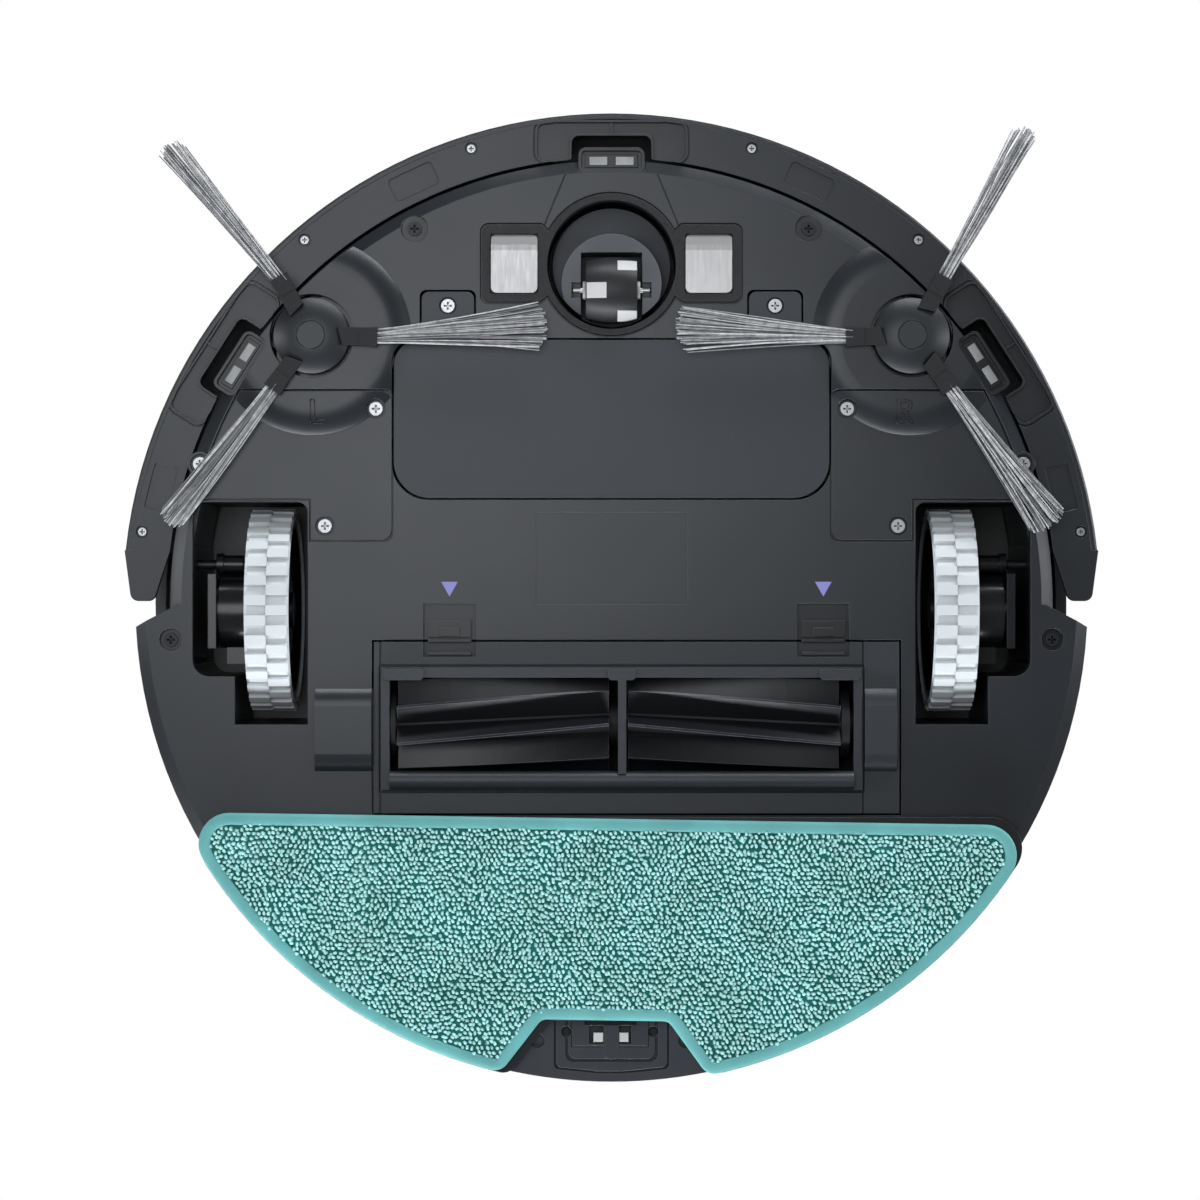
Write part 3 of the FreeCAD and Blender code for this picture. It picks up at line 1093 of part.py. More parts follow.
# ---------------------------------------------------------------- dust box and water tank
tank_edge = "sqrt(tank_radius^2 - (bay_half - 0.4)^2)"
tank_points = [("bay_half - 0.4", "bay_front - 0.4"), ("-(bay_half - 0.4)", "bay_front - 0.4"),
               ("-(bay_half - 0.4)", f"-{tank_edge}", "tank_radius", 1), ("bay_half - 0.4", f"-{tank_edge}")]
tank_body = prism("tank_body", tank_points, "floor_gap", "tank_split")
hollow_points = [("bay_half - 3", "bay_front - 3"), ("-(bay_half - 3)", "bay_front - 3"),
                 ("-(bay_half - 3)", "-142"),
                 ("bay_half - 3", "-142")]
tank_hollow = prism("tank_hollow", hollow_points, "floor_gap + 4", "tank_split - 2")
tank_cuts = [tank_hollow, rod("tank_hole_left", "1.9", "0", "floor_gap + 3", "16.1", "-152.8"),
             rod("tank_hole_right", "1.9", "0", "floor_gap + 3", "-14.8", "-152.8"),
             box("contact_well", ("-7", "8"), ("-157.2", "-150.6"), ("0", "floor_gap + 1.2")),
             box("contact_slot", ("-9", "9.6"), ("-150.4", "-148.6"), ("0", "floor_gap + 1")),
             rod("tank_dimple_left", "2.6", "0", "floor_gap + 0.5", "26.4", "-156"),
             rod("tank_dimple_right", "2.6", "0", "floor_gap + 0.5", "-26.4", "-156")]
lip_points = [("tank_lip_x", "-140"), ("-tank_lip_x", "-140"), ("-tank_lip_x", "tank_lip_y"),
              ("-5", "tank_lip_y - 1.6"), ("5", "tank_lip_y - 1.6"), ("tank_lip_x", "tank_lip_y")]
tray_points = [("tank_lip_x - 4", "-140"), ("4 - tank_lip_x", "-140"), ("4 - tank_lip_x", "tank_lip_y + 2.4"),
               ("tank_lip_x - 4", "tank_lip_y + 2.4")]


def frame_groove(name, points, inset, corner, depth, low_y):
    """A groove round an outline, as wide as the inset, with rounded corners at its outer end."""
    rims = []
    for tag, shift in (("outer", "0"), ("inner", inset)):
        moved = []
        for x, y in points:
            way = "+" if x.startswith(("-", "4 -")) else "-"
            moved.append((f"{x} {way} {shift}", y if y == "-140" else f"{y} + {shift}"))
        rim = prism(f"{name}_{tag}", moved, "0", f"floor_gap + {depth}")
        rims.append(soften(rim, corner, lambda e: upright(e) and e.Vertexes[0].Y < low_y))
    return cut(name, *rims)


tank_cuts.append(frame_groove("tank_lip", lip_points, "0.7", "2", "0.8", -160))
tank_cuts.append(frame_groove("tank_tray", tray_points, "1.1", "3", "0.6", -160))
contact_frame_points = [("14.5", "-140"), ("-13.5", "-140"), ("-13.5", "-158.4"), ("14.5", "-158.4")]
tank_cuts.append(frame_groove("contact_frame", contact_frame_points, "0.5", "0.6", "0.3", -150))
tank_tab = fuse("tank_tab", box("tank_tab_bar", ("-2.6", "2.8"), ("tank_tab_y", "-150.5"),
                                ("floor_gap - 0.1", "floor_gap + 2")),
                rod("tank_tab_end", "2.7", "floor_gap - 0.1", "floor_gap + 2", "0.1", "tank_tab_y"))
keep("water_tank", fuse("water_tank_all", cut("water_tank_cut", tank_body, *tank_cuts), tank_tab))
keep("tank_contacts", fuse("tank_contacts_all", box("tank_contact_left", ("3", "6.4"), ("-156.4", "-153.2"),
                                                    ("floor_gap + 0.2", "floor_gap + 1.2")),
                           box("tank_contact_right", ("-6", "-2.8"), ("-156.4", "-153.2"),
                               ("floor_gap + 0.2", "floor_gap + 1.2"))))
box_body = prism("box_body", tank_points, "tank_split", "tank_top")
box_room = prism("box_room", [("bay_half - 3", "bay_front - 3"), ("-44", "bay_front - 3"), ("-44", "-140"),
                              ("bay_half - 3", "-140")], "tank_split + 2", "tank_top - 2")
filter_room = box("filter_room", ("-bay_half + 3", "-46"), ("-140", "bay_front - 3"),
                  ("tank_split + 2", "tank_top - 2"))
box_cuts = [box_room, filter_room,
            box("dust_inlet", ("duct_right", "duct_left"), ("bay_front - 4", "bay_front + 1"),
                ("duct_low", "duct_high + 1")),
            box("filter_gate", ("-47", "-43"), ("-132", "-96"), ("32", "60")),
            box("air_outlet", ("-bay_half - 1", "-bay_half + 4"), ("-121", "-108"), ("32", "40")),
            rod("button_seat", "9.3", "-180", "-160", z="button_z", along="y")]
keep("dust_box", cut("dust_box_cut", box_body, *box_cuts))
keep("tank_filter", box("filter_block", ("-bay_half + 6", "-48.5"), ("-137", "bay_front - 6"),
                        ("tank_split + 2", "tank_split + 20")))
keep("tank_button", rod("tank_button_rod", "9", "-tank_radius + 0.2", "-162", z="button_z", along="y"))

# ---------------------------------------------------------------- mop
mop_tip = "sqrt(mop_radius^2 - mop_front^2)"
leg_y = "-sqrt(mop_radius^2 - leg_x^2)"


def mop_prism(name, shrink, low, high):
    """The mop's D with a notch at its rear, a little smaller all round."""
    arc, front = f"(mop_radius - {shrink})", f"(mop_front - {shrink})"
    leg, notch = f"(leg_x + {shrink})", f"(notch_half + {shrink})"
    points = [(f"sqrt({arc}^2 - {front}^2)", front), (f"-sqrt({arc}^2 - {front}^2)", front, arc, 1),
              (f"-{leg}", f"-sqrt({arc}^2 - {leg}^2)"), (f"-{notch}", f"notch_y + {shrink}"),
              (notch, f"notch_y + {shrink}"), (leg, f"-sqrt({arc}^2 - {leg}^2)", arc, 1)]
    body = prism(name, points, low, high)
    tip = number(f"sqrt({arc}^2 - {front}^2)")
    soften(body, "11", either(near(tip, front), near(-tip, front)))
    leg_end = f"-sqrt({arc}^2 - {leg}^2)"
    soften(body, "5.5", either(near(leg, leg_end), near(f"-{leg}", leg_end)))
    return soften(body, "3.5", either(near(notch, f"notch_y + {shrink}"),
                                      near(f"-{notch}", f"notch_y + {shrink}")))


keep("mop_plate", mop_prism("mop_board", "0", "cloth_thick", "mop_top"))
cloth = mop_prism("cloth", "0.4", "0", "cloth_thick")
cloth.Placement = Placement(cloth.Placement.Base, Rotation(Vector(0, 0, 1), 0.9))
keep("mop_cloth", cloth)

# ---------------------------------------------------------------- buttons on top
for name, side in (("power_button", 1), ("home_button", -1)):
    keep(name, rod(f"{name}_cap", "button_radius", "cover_plate - 1.6", "cover_top + 1.1",
                   f"{side} * button_x", "button_y"))

# ---------------------------------------------------------------- checks and files
doc.recompute()
failed = [thing.Name for thing in doc.Objects if "Invalid" in thing.State or "Error" in thing.State]
failed += [label for label, solid in NODES.items() if solid.Shape.isNull() or not solid.Shape.isValid()]
if failed:
    raise RuntimeError("these pieces did not build: " + ", ".join(failed))

os.makedirs("parts", exist_ok=True)
for label, solid in NODES.items():
    solid.Shape.exportStep(f"parts/{label}.step")
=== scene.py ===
import math
import random

import bmesh
import bpy
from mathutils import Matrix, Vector, noise
from mathutils.bvhtree import BVHTree


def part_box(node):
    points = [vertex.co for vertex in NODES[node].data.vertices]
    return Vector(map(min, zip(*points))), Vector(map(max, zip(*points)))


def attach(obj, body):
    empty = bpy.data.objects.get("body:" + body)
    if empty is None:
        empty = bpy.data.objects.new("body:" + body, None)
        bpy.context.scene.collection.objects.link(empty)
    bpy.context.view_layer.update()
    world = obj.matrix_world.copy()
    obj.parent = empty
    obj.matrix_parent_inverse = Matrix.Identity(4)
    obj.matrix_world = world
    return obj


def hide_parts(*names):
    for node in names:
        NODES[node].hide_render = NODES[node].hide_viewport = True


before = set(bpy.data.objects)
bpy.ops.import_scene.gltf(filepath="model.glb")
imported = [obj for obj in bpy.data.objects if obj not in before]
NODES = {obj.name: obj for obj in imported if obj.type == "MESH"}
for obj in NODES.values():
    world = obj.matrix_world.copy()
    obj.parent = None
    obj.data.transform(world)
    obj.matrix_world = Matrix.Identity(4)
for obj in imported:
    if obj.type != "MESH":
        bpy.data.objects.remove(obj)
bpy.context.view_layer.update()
MM = 0.001
SIDES = (("left", 1), ("right", -1))

# Sizes of the side brushes, in millimetres.
HUB_X = 106.4
HUB_Y = 94.4
ARM_REACH = 23.6
BRISTLE_REACH = 84.0


# ---------------------------------------------------------------- materials

# The sockets of a Mix node that blends colours.
MIX_SHARE, MIX_FIRST, MIX_SECOND, MIX_RESULT = 0, 6, 7, 2


def add(tree, kind, inputs=None, **settings):
    """Adds a node; inputs gives each socket a value, or another node's output to read."""
    node = tree.nodes.new(kind)
    for name, value in settings.items():
        setattr(node, name, value)
    for name, value in (inputs or {}).items():
        if isinstance(value, bpy.types.NodeSocket):
            tree.links.new(value, node.inputs[name])
        else:
            node.inputs[name].default_value = value
    return node


def new_material(name):
    """A material with its node tree, its shader and the point on the object in metres."""
    material = bpy.data.materials.new(name)
    material.use_nodes = True
    tree = material.node_tree
    shader = tree.nodes["Principled BSDF"]
    where = add(tree, "ShaderNodeTexCoord").outputs["Object"]
    return material, tree, shader, where


def speckle(tree, where, size, detail=2.0, roughness=0.5):
    """Noise from 0 to 1 whose features are about size millimetres across."""
    made = add(tree, "ShaderNodeTexNoise", {
        "Vector": where,
        "Scale": 1 / (size * MM),
        "Detail": detail,
        "Roughness": roughness,
    })
    return made.outputs["Fac"]


def remap(tree, value, low, high, to_low, to_high):
    """The value again, with low to high stretched to to_low to to_high."""
    made = add(tree, "ShaderNodeMapRange", {
        "Value": value,
        "From Min": low,
        "From Max": high,
        "To Min": to_low,
        "To Max": to_high,
    })
    return made.outputs["Result"]


def blend_colours(tree, share, first, second):
    """The first colour where share is 0 and the second where it is 1."""
    made = add(tree, "ShaderNodeMix", data_type="RGBA")
    for socket, value in ((MIX_SHARE, share), (MIX_FIRST, first), (MIX_SECOND, second)):
        if isinstance(value, bpy.types.NodeSocket):
            tree.links.new(value, made.inputs[socket])
        elif socket == MIX_SHARE:
            made.inputs[socket].default_value = value
        else:
            made.inputs[socket].default_value = (*value, 1)
    return made.outputs[MIX_RESULT]


def scaled(colour, factor):
    return tuple(min(1.0, part * factor) for part in colour)


# How near the true and the rounded normal are, where the edge lightening (rubbing and painted highlight)
# begins and where it is full.
WEAR_AND_HIGHLIGHT_STARTS, WEAR_AND_HIGHLIGHT_FULL = 0.995, 0.82
# The open share of the sky at a point where the painted shade is darkest, and where it is fully lit.
SHUT_IN, OPEN = 0.35, 0.9


def wear_and_highlight_share(tree, rounded):
    """0 on a flat or smooth stretch, rising to 1 on an edge, which is lightened partly as rubbing and partly
    as a painted highlight.
    """
    normal = add(tree, "ShaderNodeNewGeometry").outputs["Normal"]
    turn = add(tree, "ShaderNodeVectorMath", {0: rounded, 1: normal}, operation="DOT_PRODUCT")
    return remap(tree, turn.outputs["Value"], WEAR_AND_HIGHLIGHT_STARTS, WEAR_AND_HIGHLIGHT_FULL, 0.0, 1.0)


def painted_shade_in_hollows(tree, colour, reach, depth):
    """The colour again, with painted shade: darker by up to depth in seams, slots and corners about reach
    millimetres wide.
    """
    open_share = add(tree, "ShaderNodeAmbientOcclusion", {"Distance": reach * MM}, samples=6).outputs["AO"]
    return blend_colours(tree, remap(tree, open_share, SHUT_IN, OPEN, depth, 0.0), colour, (0.0, 0.0, 0.0))


def moulded(name, colour, rough, grain=0.5, relief=0.03, edge=0.35, wear_and_highlight=1.5, mottle=0.06, cover=0.85):
    """Moulded plastic: fine spark-eroded grain, slow mottling, softly rounded edges lightened partly as
    rubbing and partly as painted highlight, and painted shade in seams and corners.
    """
    material, tree, shader, where = new_material(name)
    slow = speckle(tree, where, 28, detail=5, roughness=0.6)
    fine = speckle(tree, where, grain, detail=3, roughness=0.6)
    rounded = add(tree, "ShaderNodeBevel", {"Radius": edge * MM}, samples=4).outputs["Normal"]
    body = blend_colours(tree, remap(tree, slow, 0.3, 0.7, 0.0, 1.0),
                         scaled(colour, 1 - mottle), scaled(colour, 1 + mottle))
    # Edges are lightened partly as rubbing and partly as a painted highlight.
    worn_and_highlit = blend_colours(tree, wear_and_highlight_share(tree, rounded), body, scaled(colour, wear_and_highlight))
    # Painted shade: cover sets how dark seams, slots and corners are painted.
    tree.links.new(painted_shade_in_hollows(tree, worn_and_highlit, 1.6, cover), shader.inputs["Base Color"])
    both = add(tree, "ShaderNodeMath", {0: fine, 1: slow}, operation="ADD").outputs[0]
    tree.links.new(remap(tree, both, 0.7, 1.3, rough - 0.025, rough + 0.025), shader.inputs["Roughness"])
    bump = add(tree, "ShaderNodeBump", {"Height": fine, "Distance": relief * MM, "Normal": rounded})
    tree.links.new(bump.outputs["Normal"], shader.inputs["Normal"])
    return material


def metal(name, colour, rough, streak=(1, 1, 1), edge=0.15, cover=0.92, painted_shade_from_y=None):
    """Plated or brushed metal; streak stretches the brushing, seams get painted shade, and in front of a fold
    it is painted darker as shade on the tilted part.
    """
    material, tree, shader, where = new_material(name)
    stretched = add(tree, "ShaderNodeMapping", {"Vector": where, "Scale": streak}).outputs["Vector"]
    fine = speckle(tree, stretched, 0.6, detail=4, roughness=0.7)
    slow = speckle(tree, where, 9, detail=3)
    rounded = add(tree, "ShaderNodeBevel", {"Radius": edge * MM}, samples=4).outputs["Normal"]
    tone = blend_colours(tree, slow, scaled(colour, 0.9), scaled(colour, 1.06))
    if painted_shade_from_y:
        # Painted shade: the part in front of the fold is darkened as if turned away from the light.
        forward = add(tree, "ShaderNodeSeparateXYZ", {"Vector": where}).outputs["Y"]
        front = remap(tree, forward, (painted_shade_from_y - 0.2) * MM, (painted_shade_from_y + 0.2) * MM, 0.0, 1.0)
        tone = blend_colours(tree, front, tone, scaled(colour, 0.70))
    # Painted shade: cover sets how dark seams and slots are painted.
    tree.links.new(painted_shade_in_hollows(tree, tone, 0.9, cover), shader.inputs["Base Color"])
    tree.links.new(remap(tree, fine, 0.3, 0.7, rough - 0.07, rough + 0.09), shader.inputs["Roughness"])
    bump = add(tree, "ShaderNodeBump", {"Height": fine, "Distance": 0.01 * MM, "Normal": rounded})
    tree.links.new(bump.outputs["Normal"], shader.inputs["Normal"])
    shader.inputs["Metallic"].default_value = 1.0
    return material


def fibre(name, root, tip, low, high, rough, patch=18.0, sheen=0.0):
    """Yarn or cloth: its colour runs from root to tip over a height in millimetres, in slow patches; the
    darker root end is painted shade, down among the loops and folds.
    """
    material, tree, shader, where = new_material(name)
    height = add(tree, "ShaderNodeSeparateXYZ", {"Vector": where}).outputs["Z"]
    share = remap(tree, height, low * MM, high * MM, 0.0, 1.0)
    slow = remap(tree, speckle(tree, where, patch, detail=3), 0.35, 0.65, 0.0, 1.0)
    strand = speckle(tree, where, 0.35, detail=3)
    # Painted shade: the root end, down among the loops and folds, is darker than the tip.
    painted_shade_root_tone = blend_colours(tree, slow, root, scaled(root, 1.7))
    light = blend_colours(tree, slow, tip, scaled(tip, 1.25))
    tone = blend_colours(tree, share, painted_shade_root_tone, light)
    tone = blend_colours(tree, remap(tree, strand, 0.35, 0.65, 0.0, 0.35), tone, scaled(tip, 1.3))
    tree.links.new(tone, shader.inputs["Base Color"])
    tree.links.new(remap(tree, strand, 0.3, 0.7, rough - 0.06, rough + 0.06), shader.inputs["Roughness"])
    bump = add(tree, "ShaderNodeBump", {"Height": strand, "Distance": 0.08 * MM})
    tree.links.new(bump.outputs["Normal"], shader.inputs["Normal"])
    shader.inputs["Sheen Weight"].default_value = sheen
    shader.inputs["Sheen Roughness"].default_value = 0.4
    return material


def filaments(name, dull, pale, rough):
    """Nylon bristles: each one keeps a tone of its own between dull and pale."""
    material, tree, shader, where = new_material(name)
    own = add(tree, "ShaderNodeNewGeometry").outputs["Random Per Island"]
    streak = speckle(tree, where, 2.5, detail=2)
    share = add(tree, "ShaderNodeMath", {0: own, 1: streak}, operation="MULTIPLY").outputs[0]
    tone = blend_colours(tree, remap(tree, share, 0.08, 0.5, 0.0, 1.0), dull, pale)
    tree.links.new(tone, shader.inputs["Base Color"])
    tree.links.new(remap(tree, streak, 0.3, 0.7, rough - 0.05, rough + 0.08), shader.inputs["Roughness"])
    return material


BLACK = (0.010, 0.0115, 0.0135)
materials = {
    "shell": moulded("shell_plastic", (0.0175, 0.0205, 0.0245), 0.33, grain=0.45, relief=0.012, edge=0.4,
                     wear_and_highlight=2.8),
    "cover": moulded("cover_plastic", (0.0255, 0.030, 0.0355), 0.42, grain=0.7, relief=0.045, wear_and_highlight=2.0),
    "grained": moulded("grained_plastic", (0.012, 0.0135, 0.0155), 0.44, grain=0.9, relief=0.30, wear_and_highlight=2.2,
                       mottle=0.3),
    "dark": moulded("dark_plastic", BLACK, 0.34, grain=0.6, relief=0.02, wear_and_highlight=4.0),
    "chamber": moulded("chamber_plastic", (0.002, 0.0024, 0.003), 0.6, grain=0.8, relief=0.03),
    "sensor": moulded("sensor_plastic", (0.006, 0.007, 0.0085), 0.30, grain=0.8, relief=0.02, wear_and_highlight=5.0),
    "hub": moulded("hub_plastic", (0.019, 0.022, 0.026), 0.40, grain=0.5, relief=0.02, wear_and_highlight=1.8),
    "satin": moulded("satin_plastic", (0.095, 0.102, 0.112), 0.50, grain=0.6, relief=0.03, wear_and_highlight=1.8),
    "gloss": moulded("gloss_black", BLACK, 0.22, grain=1.2, relief=0.008),
    "roller": moulded("roller_rubber", (0.013, 0.0145, 0.0165), 0.46, grain=0.7, relief=0.03, wear_and_highlight=1.6),
    "smoked": moulded("smoked_plastic", (0.052, 0.057, 0.064), 0.24, grain=3.0, relief=0.02, mottle=0.14,
                      wear_and_highlight=2.4),
    "button": moulded("button_plastic", (0.25, 0.26, 0.28), 0.35, grain=0.5, relief=0.02),
    "rubber": moulded("soft_rubber", (0.0075, 0.0085, 0.010), 0.62, grain=0.9, relief=0.02, edge=0.25,
                      wear_and_highlight=1.8),
    # The blade tips are lightened strongly: a painted highlight along their edges.
    "blade": moulded("blade_rubber", (0.0065, 0.0075, 0.0095), 0.36, grain=0.9, relief=0.02, edge=0.3,
                     wear_and_highlight=26.0),
    "tread": moulded("wheel_rubber", (0.80, 0.845, 0.86), 0.8, grain=0.5, relief=0.03, edge=0.4, wear_and_highlight=1.1,
                     cover=0.3),
    "bright": metal("bright_steel", (0.50, 0.51, 0.52), 0.36),
    "plate": metal("contact_plate", (0.64, 0.635, 0.63), 0.50, streak=(1, 0.08, 1), edge=0.3, painted_shade_from_y=125.0),
    "pin": metal("contact_pin", (0.90, 0.90, 0.89), 0.5, cover=0.0),
    "dark_steel": metal("dark_steel", (0.045, 0.046, 0.052), 0.42),
    "white": moulded("white_marks", (0.70, 0.70, 0.695), 0.45, grain=0.8, relief=0.01, wear_and_highlight=1.0, mottle=0.04),
    "lavender": moulded("lavender_print", (0.27, 0.26, 0.62), 0.45, grain=0.4, relief=0.01, wear_and_highlight=1.0),
    "board": moulded("circuit_board", (0.02, 0.14, 0.06), 0.30, grain=2.0, relief=0.05),
    "wrap": moulded("battery_wrap", (0.03, 0.07, 0.28), 0.35, grain=4.0, relief=0.05),
    "paper": moulded("filter_paper", (0.80, 0.77, 0.68), 0.75, grain=0.8, relief=0.06, wear_and_highlight=1.0),
    "bristle": filaments("bristle_nylon", (0.19, 0.195, 0.20), (0.72, 0.725, 0.73), 0.42),
    "pile": fibre("pile_yarn", (0.012, 0.19, 0.16), (0.45, 0.84, 0.79), 2.9, 0.6, 0.75, sheen=0.3),
    "backing": fibre("cloth_backing", (0.012, 0.17, 0.145), (0.03, 0.25, 0.215), 4.0, 2.0, 0.85),
    "binding": fibre("binding_tape", (0.085, 0.33, 0.325), (0.13, 0.405, 0.40), 4.0, 0.6, 0.7, sheen=0.2),
    "lens": moulded("lens_plastic", (0.46, 0.48, 0.48), 0.16, grain=1.5, relief=0.10, mottle=0.45, wear_and_highlight=1.3),
    # Near-black: painted shade for the grooves of the engraved letters.
    "mark": moulded("engraved_groove_shade", (0.005, 0.006, 0.007), 0.34, grain=0.4, relief=0.01, wear_and_highlight=1.0),
}

LOOKS = {
    "shell": ("chassis_base", "body_shell", "top_cover", "module_cover_left", "module_cover_right",
              "bumper_shell", "bumper_skirt"),
    "cover": ("battery_cover", "brush_guard"),
    "grained": ("caster_bezel",),
    "dark": ("wheel_housing_left", "wheel_housing_right", "mop_plate", "lidar_base", "brush_latch_left",
             "brush_latch_right", "suction_fan"),
    "sensor": ("cliff_sensor_housings",),
    "chamber": ("brush_chamber", "brush_core"),
    "hub": ("side_brush_hub_left", "side_brush_hub_right"),
    "satin": ("caster_swivel",),
    "gloss": ("drive_gearbox_left", "drive_gearbox_right", "bumper_window", "wheel_rim_left",
              "wheel_rim_right", "lidar_cap", "lidar_rotor", "side_brush_motor_left",
              "side_brush_motor_right", "main_brush_motor"),
    "roller": ("caster_wheel",),
    "smoked": ("water_tank", "dust_box"),
    "lens": ("cliff_sensor_lenses",),
    "button": ("tank_button", "power_button", "home_button"),
    "rubber": ("side_brush_arms_left", "side_brush_arms_right"),
    "blade": ("brush_blades",),
    "tread": ("tyre_left", "tyre_right"),
    "bristle": ("side_brush_bristles_left", "side_brush_bristles_right"),
    "bright": ("cover_screws", "bumper_screws"),
    "plate": ("charging_contacts",),
    "pin": ("tank_contacts", "caster_axle"),
    "dark_steel": ("chassis_screws",),
    "white": ("caster_marks",),
    "lavender": ("latch_marks",),
    "board": ("main_board",),
    "wrap": ("battery_pack",),
    "paper": ("tank_filter",),
    "backing": ("mop_cloth",),
}


def dress(thing, look):
    thing.data.materials.clear()
    thing.data.materials.append(materials[look])


for look, names in LOOKS.items():
    for node_name in names:
        dress(NODES[node_name], look)


# ---------------------------------------------------------------- mesh helpers

def piece(name, mesh, look, body, smooth=True):
    """Makes an object of a bmesh, gives it its material and puts it on its body."""
    data = bpy.data.meshes.new(name)
    mesh.normal_update()
    mesh.to_mesh(data)
    mesh.free()
    thing = bpy.data.objects.new(name, data)
    bpy.context.scene.collection.objects.link(thing)
    for face in data.polygons:
        face.use_smooth = smooth
    dress(thing, look)
    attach(thing, body)
    return thing


def tube(mesh, points, radii, sides, cap=True):
    """Adds a tube through points, with a radius at each."""
    rings = []
    across = None
    for index, point in enumerate(points):
        before = points[max(index - 1, 0)]
        after = points[min(index + 1, len(points) - 1)]
        along = (after - before).normalized()
        if across is None:
            across = along.cross(Vector((0, 0, 1)))
            if across.length < 0.1:
                across = along.cross(Vector((1, 0, 0)))
        across = (across - along * across.dot(along)).normalized()
        up = along.cross(across)
        ring = []
        for step in range(sides):
            turn = math.tau * step / sides
            offset = across * math.cos(turn) + up * math.sin(turn)
            ring.append(mesh.verts.new(point + offset * radii[index]))
        rings.append(ring)
    for first, second in zip(rings, rings[1:]):
        for step in range(sides):
            following = (step + 1) % sides
            mesh.faces.new((first[step], first[following], second[following], second[step]))
    if cap:
        mesh.faces.new(list(reversed(rings[0])))
        mesh.faces.new(rings[-1])


# ---------------------------------------------------------------- side brush bristles

# Each tuft: its turn from straight ahead in degrees, half its width at the tip in millimetres,
# how far its tip leans to one side in millimetres, and how many filaments it has.
TUFTS = {"left": ((-29.0, 4.6, -11.0, 46), (91.5, 7.4, -5.0, 74), (215.5, 4.8, 2.0, 56)),
         "right": ((-29.0, 4.6, -0.5, 46), (91.5, 8.0, -4.6, 74), (215.5, 7.2, 1.0, 62))}
FILAMENT = 0.27
FILAMENT_STEPS = 7
CLAMPED = 2.5
BRISTLE_HEIGHT = 3.5


def filament(mesh, draw, side, turn, width, lean):
    """One nylon filament, from inside the arm's clamp to the tuft's ragged end."""
    spot = draw.uniform(-1, 1)
    layer = draw.uniform(-1, 1)
    reach = BRISTLE_REACH - abs(draw.gauss(0, 1.6)) - 2.6 * spot * spot
    stray = draw.gauss(0, 0.12)
    end = spot + stray
    kink = draw.gauss(0, 0.5)
    points = []
    for step in range(FILAMENT_STEPS):
        share = step / (FILAMENT_STEPS - 1)
        out = ARM_REACH - CLAMPED + (reach - ARM_REACH + CLAMPED) * share
        sideways = spot * 2.3 * (1 - share) + end * width * share ** 1.25
        sideways += lean * share + kink * math.sin(math.pi * share)
        height = BRISTLE_HEIGHT + layer * (1.1 - 0.2 * share) - 1.2 * share * share
        angle = math.radians(turn)
        forward = Vector((-math.sin(angle), math.cos(angle)))
        beside = Vector((-forward.y, forward.x))
        spot_at = forward * out + beside * sideways
        points.append(Vector((side * (HUB_X + spot_at.x), HUB_Y + spot_at.y, height)) * MM)
    radii = [FILAMENT * MM * (1 - 0.25 * step / FILAMENT_STEPS) for step in range(FILAMENT_STEPS)]
    tube(mesh, points, radii, 5)


for tag, side in SIDES:
    draw = random.Random(11 + side)
    tufts = bmesh.new()
    for turn, width, lean, count in TUFTS[tag]:
        for _ in range(count):
            filament(tufts, draw, side, turn, width, lean)
    bristles = piece(f"bristle_tufts_{tag}", tufts, "bristle", f"side_brush_{tag}")
    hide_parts(f"side_brush_bristles_{tag}")


# ---------------------------------------------------------------- side marks, painted groove shade

# The outlines of the marks L and R, in millimetres right and up from the letter's middle.
LETTERS = {
    "left": (((-2.8, 4.2), (-1.3, 4.2), (-1.3, -2.9), (2.8, -2.9), (2.8, -4.2), (-2.8, -4.2)),),
    "right": (((-2.8, 4.2), (1.0, 4.2), (2.4, 3.3), (2.6, 1.7), (2.0, 0.5), (0.9, 0.0), (2.9, -4.2),
               (1.3, -4.2), (-0.4, -0.3), (-1.4, -0.3), (-1.4, -4.2), (-2.8, -4.2)),
              ((-1.4, 3.1), (0.6, 3.1), (1.2, 2.6), (1.3, 1.7), (0.9, 1.0), (0.2, 0.8), (-1.4, 0.8))),
}
LETTER_X = 104.0
LETTER_Y = 67.6
GROOVE = 0.2
LETTER_STEP = 1.2


def on_surface(tree, x, y):
    """The point of a piece that is seen from straight below at x, y."""
    return tree.ray_cast(Vector((x, y, -0.02)), Vector((0, 0, 1)), 0.1)[0]


for tag, side in SIDES:
    skin = bmesh.new()
    skin.from_mesh(NODES[f"module_cover_{tag}"].data)
    cover_tree = BVHTree.FromBMesh(skin)
    skin.free()
    letter = bmesh.new()
    for outline in LETTERS[tag]:
        for first, second in zip(outline, outline[1:] + outline[:1]):
            steps = max(1, round(math.dist(first, second) / LETTER_STEP))
            points = []
            for step in range(steps + 1):
                right, up = Vector(first).lerp(Vector(second), step / steps)
                points.append(on_surface(cover_tree, (side * LETTER_X - right) * MM, (LETTER_Y + up) * MM))
            tube(letter, points, [GROOVE * MM] * len(points), 6)
    # Near-black beads along the letters: painted shade standing for the grooves of the engraved marks.
    piece(f"side_mark_{tag}", letter, "mark", "chassis")


# ---------------------------------------------------------------- mop cloth

